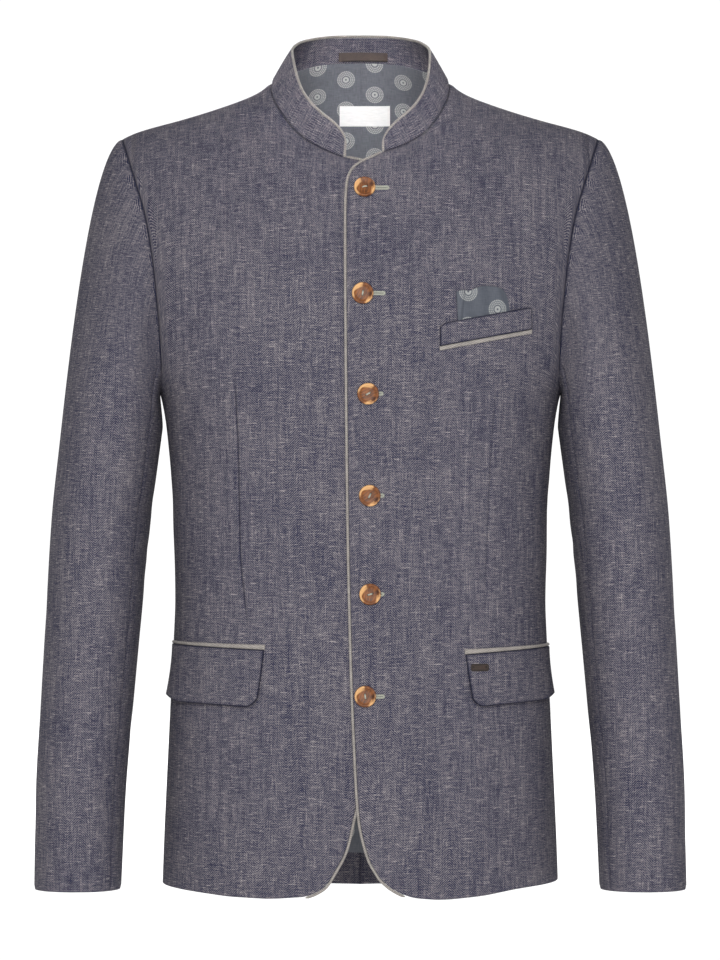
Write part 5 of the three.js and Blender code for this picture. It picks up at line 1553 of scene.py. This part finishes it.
class JACKET_OT_linings(bpy.types.Operator):
    """The back lining, from the neck to the hem's turn-up"""
    bl_idname = "jacket.linings"
    bl_label = "Linings"

    def execute(self, context):
        sizes = context.scene.jacket_sizes
        for side, sign in SIGN.items():
            panel = body_grid(f"back_{side}", context)
            keep = panel["plain"][:, 0, 2] > BACK_HEM[0][1] + sizes.turn_up / MM
            plain, normal = panel["plain"][keep], panel["normal"][keep]
            inward = normal.copy()
            at_neck = np.exp(-between(plain, plain[-1:]) / LINING["neck_reach"])
            neck_end = BACK_STEPS["neck"] * FINE
            at_neck *= smooth_step(neck_end + 8, neck_end - 4, np.arange(inward.shape[1]))[None]
            inward[..., 2] *= 1 - at_neck
            inward = unit(inward)
            outer = plain - inward * sizes.lining_space / MM
            inner = outer - inward * sizes.lining / MM
            for face in (outer, inner):
                face[..., 2] += at_neck * LINING["neck_lift"]
            seam = hill(between(plain, plain[:, :1]), LINING["seam_reach"])
            sag = hill(between(plain, plain[:1]), LINING["hem_reach"])
            inner += normal * (LINING["seam_draw"] * seam)[..., None]
            inner -= inward * (LINING["hem_sag"] * sag)[..., None]
            outer[:, 0, 0] = inner[:, 0, 0] = 0
            grid = mirrored({"outer": outer, "inner": inner, "normal": normal, "uv": panel["uv"][keep]}, sign)
            name = f"lining_back_{side}"
            cloth_piece(context, name, grid, "lining")
        return {"FINISHED"}


class JACKET_OT_sleeves(bpy.types.Operator):
    """Upper and under half of each sleeve"""
    bl_idname = "jacket.sleeves"
    bl_label = "Sleeves"

    def execute(self, context):
        thickness = context.scene.jacket_sizes.cloth / MM
        turns = {"under": (FRONT_SEAM_TURN, BACK_SEAM_TURN), "upper": (BACK_SEAM_TURN - 360, FRONT_SEAM_TURN)}
        for side, sign in SIGN.items():
            for half, (start, end) in turns.items():
                name = f"sleeve_{side}_{half}"
                grid = mirrored(sleeve_panel(side, start, end, thickness), sign)
                cloth_piece(context, name, grid, "cloth")
        return {"FINISHED"}


def collar_of(context):
    if "collar" not in grids:
        panels = {"left": body_grid("front_left", context), "right": body_grid("front_right", context),
                  "back": body_grid("back_left", context)}
        grids["collar"] = collar_grid(panels, context.scene.jacket_sizes.collar / MM, piping_room(context))
    return grids["collar"]


class JACKET_OT_collar(bpy.types.Operator):
    """The stand collar"""
    bl_idname = "jacket.collar"
    bl_label = "Collar"

    def execute(self, context):
        cloth_piece(context, "collar", collar_of(context), "cloth")
        return {"FINISHED"}


def share_along(path):
    run = run_along(path)
    return run / run[-1]


def evenly(values, at, count):
    """Rows of values read again at even shares of the way."""
    return np.array([np.interp(np.linspace(0, 1, count), at, column) for column in values.T]).T


class JACKET_OT_edge_pipings(bpy.types.Operator):
    """Piping up both front edges and along the collar"""
    bl_idname = "jacket.edge_pipings"
    bl_label = "Edge pipings"

    def execute(self, context):
        sizes = context.scene.jacket_sizes
        radius = sizes.piping_radius / MM
        piping = finish_of(context, "piping")
        for side, sign in SIGN.items():
            grid = body_grid(f"front_{side}", context)
            plain, normal = grid["plain"], grid["normal"]
            rows, cols = plain.shape[:2]
            last = rows - 1 - FRONT_STEPS["neck_front"] * FINE - PIPING_SHORT
            path = np.concatenate([plain[0, HEM_PIPED:0:-1], plain[:last, 0]])
            outs = unit(np.concatenate([normal[0, HEM_PIPED:0:-1], normal[:last, 0]]))
            off = unit(np.cross(unit(np.gradient(path, axis=0)), outs))
            wrong = (off * (plain[rows // 2, cols // 2] - path)).sum(-1) > 0
            off[wrong] *= -1
            path = path + off * (radius + PIPING_GAP) - outs * sizes.cloth / MM / 2
            count = PIPING_POINTS["front"]
            path = evenly(path, share_along(path), count)
            outs = evenly(outs, np.linspace(0, 1, len(outs)), count)
            flip = np.array([sign, 1, 1])
            name = f"piping_front_{side}"
            strip(tube(name, path * flip, radius, outs * flip, piping), path)
        grid = collar_of(context)
        normal = grid["normal"]
        middle = (grid["outer"] + grid["inner"]) / 2
        top = middle[-1] + grid["up"] * (radius + PIPING_GAP)
        ends = [middle[:, at] + unit(middle[:, at] - middle[:, beside]) * (radius + PIPING_GAP)
                for at, beside in ((0, 1), (-1, -2))]
        path = np.concatenate([ends[0][:-1], top[1:-1], ends[1][-2::-1]])
        outs = np.concatenate([normal[:-1, 0], normal[-1, 1:-1], normal[-2::-1, -1]])
        share = share_along(path)
        path, outs = [evenly(values, share, PIPING_POINTS["collar"]) for values in (path, outs)]
        for _ in range(PIPING_SMOOTHED):
            path[1:-1] = (path[:-2] + 2 * path[1:-1] + path[2:]) / 4
        strip(tube("piping_collar", path, radius, outs, piping), path)
        return {"FINISHED"}


def strip(piece, path):
    """Piping is a strip of cloth rolled over a core: the strip's own flat length is worked out."""
    long = float(run_along(path)[-1]) * MM


def band_place(below, past, from_z, to_z, taper=0.0):
    """A band of piping along the line that a flap or the welt gives by its two ends."""
    inner, outer = below["inner"] - past, below["outer"] + past

    def place(u, v):
        x = inner + (outer - inner) * u
        line = below["inner_z"] + (below["outer_z"] - below["inner_z"]) * u
        z = line + from_z + (to_z - from_z) * v * (1 - taper * u)
        return x, z, 0 * x
    return place


class JACKET_OT_flaps(bpy.types.Operator):
    """Both pocket flaps, standing off at the foot, with the piping above them"""
    bl_idname = "jacket.flaps"
    bl_label = "Pocket flaps"

    def execute(self, context):
        sizes = context.scene.jacket_sizes
        trim = FLAP_PIPING
        for side, flap in FLAPS.items():
            patch(context, f"flap_{side}", side, flap_place(flap), (56, 34), PATCH_LIFT, sizes.cloth / MM,
                  CLOTH_ROUND, "cloth")
            top = trim["above"] + sizes.flap_piping / MM
            band = band_place(flap, trim["past"], trim["above"], top, trim["taper"])
            patch(context, f"flap_piping_{side}", side, band, (56, 8), trim["lift"], trim["thickness"],
                  trim["round"], "piping")
        return {"FINISHED"}


class JACKET_OT_breast_pocket(bpy.types.Operator):
    """The breast welt with its piping, and the square folded into it"""
    bl_idname = "jacket.breast_pocket"
    bl_label = "Breast pocket"

    def execute(self, context):
        sizes = context.scene.jacket_sizes
        trim, square = WELT_PIPING, SQUARE
        foot = -trim["below"] - sizes.welt_piping / MM
        band = band_place(WELT, trim["past"], foot, -trim["below"])
        patch(context, "breast_welt", "left", welt_place, (60, 18), PATCH_LIFT, sizes.cloth / MM,
              CLOTH_ROUND, "cloth")
        patch(context, "breast_welt_piping", "left", band, (60, 8), trim["lift"], trim["thickness"],
              trim["round"], "piping")
        patch(context, "pocket_square", "left", square_place, (56, 36), square["lift"], square["thickness"],
              square["round"], "square")
        return {"FINISHED"}


class JACKET_OT_flap_tab(bpy.types.Operator):
    """The small bare tab with two needle holes, sewn on one flap"""
    bl_idname = "jacket.flap_tab"
    bl_label = "Flap tab"

    def execute(self, context):
        flap = FLAPS["left"]

        # The needle holes: pressed into the tab, and given painted shade
        def holes(x, z):
            beside = np.abs(x - TAB["x"]) - NEEDLE_HOLES["off"]
            above = z - TAB["z"] - NEEDLE_HOLES["rise"]
            return np.exp(-((beside ** 2 + above ** 2) / NEEDLE_HOLES["radius"] ** 2) ** 2)

        def place(u, v):
            x = TAB["x"] + TAB["width"] * (u - 0.5)
            past = np.clip((np.abs(2 * u - 1) - TAB["corner_from"]) / (1 - TAB["corner_from"]), 0, 1)
            z = TAB["z"] + TAB["height"] * (v - 0.5) * np.sqrt(1 - TAB["corner"] * past ** 2)
            down = (flap["inner_z"] - z) / flap["drop"]
            return x, z, FLAP_STAND["foot"] * down ** 2 - NEEDLE_HOLES["depth"] * holes(x, z)

        patch(context, "flap_tab", "left", place, (64, 26), PATCH_LIFT + TAB["above_flap"], TAB["thickness"],
              TAB["round"], "leather", holes)
        return {"FINISHED"}


def on_collar(grid, share, x):
    """A place on the collar's inner face, at a share of its height."""
    level = share * (len(grid["inner"]) - 1)
    i = min(int(level), len(grid["inner"]) - 2)
    row = grid["inner"][i] + (grid["inner"][i + 1] - grid["inner"][i]) * (level - i)
    middle = row.shape[0] // 2
    near = slice(middle - 30, middle + 31)
    order = np.argsort(row[near, 0])
    return np.array([x] + [np.interp(x, row[near, 0][order], row[near, k][order]) for k in (1, 2)])


class JACKET_OT_neck_inside(bpy.types.Operator):
    """The bare hanger loop on the collar and the blank label on the lining"""
    bl_idname = "jacket.neck_inside"
    bl_label = "Loop and label"

    def execute(self, context):
        collar = collar_of(context)
        cols, rows = [close_steps(count, (0.2, 0.5)) / count for count in (50, 12)]
        outer = np.zeros((len(rows), len(cols), 3))
        for i, v in enumerate(rows):
            for j, u in enumerate(cols):
                loose = min(max((u - LOOP["sewn"]) / (1 - 2 * LOOP["sewn"]), 0), 1)
                slack = LOOP["slack"] + LOOP["sag"] * math.sin(math.pi * loose) ** 0.8
                x = LOOP["x"] + LOOP["width"] * (u - 0.5)
                level = LOOP["from"] + (LOOP["to"] - LOOP["from"]) * v
                outer[i, j] = on_collar(collar, level, x) - [0, slack, 0]
        soft = 0.5 * (1 - quarter_round(to_rim(outer) / LOOP["round"]))
        normal = np.tile([0.0, 1.0, 0.0], outer.shape[:2] + (1,))
        inner = outer - normal * (LOOP["thickness"] - soft)[..., None]
        grid = {"outer": outer, "inner": inner, "normal": normal, "uv": outer[..., [0, 2]] * MM}
        cloth_piece(context, "hanger_loop", grid, "leather")

        u, v = np.meshgrid(*[close_steps(count, (0.2, 0.5)) / count for count in (40, 16)])
        x = LABEL["x"] + LABEL["width"] * (u - 0.5)
        z = LABEL["z"] + LABEL["height"] * (v - 0.5)
        half, sizes = HALVES["back"], context.scene.jacket_sizes
        lift = -(sizes.lining_space + sizes.lining) / MM - LABEL["lift"]
        under, normal = panel_point(half, *unroll(half, np.abs(x), z), lift)
        under[..., 0] *= np.sign(x)
        normal[..., 0] *= np.sign(x)
        puff = LABEL["puff"] * np.sin(np.pi * u) ** 0.5 * np.sin(np.pi * v) ** 0.5
        inner = under - normal * (LABEL["thickness"] + puff)[..., None]
        grid = {"outer": under, "inner": inner, "normal": normal, "uv": np.stack([x, z], -1) * MM}
        cloth_piece(context, "blank_label", grid, "label")
        return {"FINISHED"}


def button_seat(k):
    """A button's middle on the cloth, with its right, up and out directions."""
    x, z = BUTTONS[k]
    place, normal = front_point("left", np.array([x]), np.array([z]), BUTTON_LIFT)
    return place[0], turned_to(normal[0])


class JACKET_OT_buttons(bpy.types.Operator):
    """Six turned horn buttons"""
    bl_idname = "jacket.buttons"
    bl_label = "Buttons"

    def execute(self, context):
        sizes = context.scene.jacket_sizes
        radius, height = sizes.button_radius / MM, sizes.button_height / MM
        for k, turn in enumerate(HORN_TURNS):
            mesh = button_mesh(radius, height, BUTTON_HOLES[k])
            flat = np.zeros(len(mesh.vertices) * 3)
            mesh.vertices.foreach_get("co", flat)
            flat = flat.reshape(-1, 3)
            place, (right, up, out) = button_seat(k)
            world = place + flat[:, :1] * right + flat[:, 1:2] * up + flat[:, 2:3] * out
            mesh.vertices.foreach_set("co", (world * MM).ravel())
            grain = np.stack([flat[:, 0] * math.cos(turn) + flat[:, 1] * math.sin(turn),
                              flat[:, 1] * math.cos(turn) - flat[:, 0] * math.sin(turn)], -1) / radius
            set_places(mesh, "grain", grain)
            mesh.materials.clear()
            finish_piece(mesh, f"button_{k + 1}", finish_of(context, "horn"), f"button_{k + 1}", 38)
        return {"FINISHED"}


def bar(points, radius, sides=8):
    """A short round bar along points, as vertices and faces."""
    points = np.asarray(points, float)
    ahead = unit(np.gradient(points, axis=0))
    across = unit(np.cross(ahead, [0.31, 0.2, 0.93]))
    up = np.cross(ahead, across)
    angle = np.linspace(0, 2 * np.pi, sides, endpoint=False)[:, None]
    ring = points[:, None] + radius * (np.cos(angle) * across[:, None] + np.sin(angle) * up[:, None])
    rows = len(points)
    pairs = [(j, (j + 1) % sides) for j in range(sides)]
    faces = [(low + j, low + k, low + sides + k, low + sides + j)
             for low in range(0, (rows - 1) * sides, sides) for j, k in pairs]
    faces.append(tuple(reversed(range(sides))))
    faces.append(tuple(range((rows - 1) * sides, rows * sides)))
    return ring.reshape(-1, 3), faces


class JACKET_OT_sewing(bpy.types.Operator):
    """Worked buttonholes and the thread in the buttons"""
    bl_idname = "jacket.sewing"
    bl_label = "Sewing"

    def execute(self, context):
        sizes = context.scene.jacket_sizes
        lines, aims = [], []
        for (x, z), end in zip(BUTTONS, SLIT_ENDS):
            begin = x + sizes.button_radius / MM - SLIT_UNDER_BUTTON
            middle = end - SLIT_LIP
            straight = np.linspace(begin, middle, 40)
            turn = np.linspace(math.pi / 2, -math.pi / 2, 16)[1:-1]
            flat = [(p, z + SLIT_LIP, 0.0, 1.0) for p in straight]
            for c, s in zip(np.cos(turn), np.sin(turn)):
                flat.append((middle + SLIT_LIP * c, z + SLIT_LIP * s, c, s))
            flat += [(p, z - SLIT_LIP, 0.0, -1.0) for p in straight[::-1]]
            flat = np.array(flat)
            here = surface_line("left", flat[:, :2], STITCH_LIFT)[0]
            there = surface_line("left", flat[:, :2] + flat[:, 2:] * 0.5, STITCH_LIFT)[0]
            lines.append(here)
            aims.append(unit(there - here))
        sew(context, "buttonhole_stitches", lines, aims)

        verts, faces = [], []
        t = np.linspace(-1, 1, 9)
        arch = BUTTON_SEAT * sizes.button_height / MM + THREADS["rise"] - THREADS["dive"] * np.abs(t) ** 6
        reach = t * (HOLE_OFFSET + THREADS["past_hole"])
        for k, turn in enumerate(BUTTON_HOLES):
            place, (right, up, out) = button_seat(k)
            across = math.cos(turn) * right + math.sin(turn) * up
            beside = np.cross(out, across)
            for shift in THREADS["shifts"]:
                points = place + across * reach[:, None] + out * arch[:, None] + beside * shift
                ring, quads = bar(points, THREADS["radius"])
                faces += [tuple(i + len(verts) for i in face) for face in quads]
                verts += ring.tolist()
        mesh = bpy.data.meshes.new("button_thread")
        mesh.from_pydata([[c * MM for c in v] for v in verts], [], faces)
        finish_piece(mesh, "button_thread", finish_of(context, "thread"), None, 60)
        return {"FINISHED"}


# The surround turns white between these two values of its direction's way to the back
WHITE_FROM, WHITE_TO = 0.9, 0.97
FLOOR_REACH = 9.5
FLOOR_SHADE = 0.99
FRAME_WIDTH = 0.6408
CAMERA_X = -0.00027
SENSOR_WIDTH = 36.0


class JACKET_OT_stage(bpy.types.Operator):
    """Floor, white surround, soft lights and the camera"""
    bl_idname = "jacket.stage"
    bl_label = "Stage"

    def execute(self, context):
        stage = context.scene.jacket_stage
        world = bpy.data.worlds.new("white_surround")
        world.use_nodes = True
        # White behind the jacket and dimmer round the rest, so that its turning edges fall off in tone
        nodes, link = world.node_tree.nodes, world.node_tree.links.new
        split, fall = nodes.new("ShaderNodeSeparateXYZ"), nodes.new("ShaderNodeMapRange")
        link(nodes.new("ShaderNodeTexCoord").outputs["Generated"], split.inputs[0])
        link(split.outputs[1], fall.inputs[0])
        levels = (WHITE_FROM, WHITE_TO, stage.room_strength, stage.world_strength)
        for socket, value in zip(fall.inputs[1:5], levels):
            socket.default_value = value
        back = nodes["Background"]
        back.inputs["Color"].default_value = (1, 1, 1, 1)
        link(fall.outputs[0], back.inputs["Strength"])
        context.scene.world = world
        context.scene.view_settings.view_transform = "Standard"
        corners = ((-1, -1), (1, -1), (1, 1), (-1, 1))
        floor = bpy.data.meshes.new("floor")
        floor.from_pydata([(x * FLOOR_REACH, y * FLOOR_REACH, stage.floor_height) for x, y in corners], [],
                          [(0, 1, 2, 3)])
        paint = Tree("plain_floor")
        tone = tuple(stage.floor_colour)
        shade = [c * FLOOR_SHADE for c in tone]
        floor.materials.append(paint.finish(paint.mix(paint.object_noise(3.0), shade, tone), 0.9))
        new_object("floor", floor)
        # name, place, aim, size, power in watts and spread in degrees
        lights = [
            ("front_left", (-0.5, -3.9, 0.8), (0, 0, -0.3), 1.8, stage.front_watts, 180),
            ("front_right", (0.55, -3.7, 0.2), (0, 0, -0.35), 1.6, 0.7 * stage.front_watts, 180),
            ("into_neck", (0, -1.7, 1.0), (0, 0.07, 0.01), 0.15, stage.neck_watts, 11),
            ("floor_wash", (0, 6.5, 2.8), (0, 6.5, 0), 7.0, stage.floor_watts, 180),
        ]
        for name, at, aim, size, watts, spread in lights:
            lamp = bpy.data.lights.new(name, "AREA")
            lamp.shape = "SQUARE"
            lamp.size = size
            lamp.energy = watts
            lamp.spread = math.radians(spread)
            made = new_object(lamp.name, lamp)
            made.location = at
            made.rotation_euler = (Vector(aim) - Vector(at)).to_track_quat("-Z", "Y").to_euler()
        camera = bpy.data.cameras.new("camera")
        camera.sensor_fit = "HORIZONTAL"
        camera.sensor_width = SENSOR_WIDTH
        camera.lens = camera.sensor_width * stage.camera_distance / FRAME_WIDTH
        camera.clip_end = 60.0
        camera.dof.use_dof = False
        eye = new_object("camera", camera)
        eye.location = (CAMERA_X, -stage.camera_distance, stage.camera_height)
        eye.rotation_euler = (math.pi / 2, 0, 0)
        context.scene.camera = eye
        return {"FINISHED"}


OPERATORS = (JACKET_OT_fronts, JACKET_OT_backs, JACKET_OT_linings, JACKET_OT_sleeves, JACKET_OT_collar,
             JACKET_OT_edge_pipings, JACKET_OT_flaps, JACKET_OT_breast_pocket, JACKET_OT_flap_tab,
             JACKET_OT_neck_inside, JACKET_OT_buttons, JACKET_OT_sewing, JACKET_OT_stage)
GROUPS = {"jacket_sizes": JacketSizes, "jacket_cloth": JacketCloth, "jacket_stage": JacketStage}


class JACKET_PT_panel(bpy.types.Panel):
    """Sizes, colours and pieces of the jacket"""
    bl_idname = "JACKET_PT_panel"
    bl_label = "Jacket"
    bl_space_type = "VIEW_3D"
    bl_region_type = "UI"
    bl_category = "Jacket"

    def draw(self, context):
        for name, group in GROUPS.items():
            box = self.layout.box()
            for key in group.__annotations__:
                box.prop(getattr(context.scene, name), key)
        for made in OPERATORS:
            self.layout.operator(made.bl_idname)


def register():
    for made in tuple(GROUPS.values()) + OPERATORS + (JACKET_PT_panel,):
        bpy.utils.register_class(made)
    for name, group in GROUPS.items():
        setattr(bpy.types.Scene, name, bpy.props.PointerProperty(type=group))


def unregister():
    for name in GROUPS:
        delattr(bpy.types.Scene, name)
    for made in (JACKET_PT_panel,) + tuple(reversed(OPERATORS)) + tuple(reversed(GROUPS.values())):
        bpy.utils.unregister_class(made)


def main():
    register()
    for made in OPERATORS:
        group, name = made.bl_idname.split(".")
        if getattr(getattr(bpy.ops, group), name)() != {"FINISHED"}:
            raise RuntimeError(f"{made.bl_idname} did not finish")


if __name__ == "__main__":
    main()
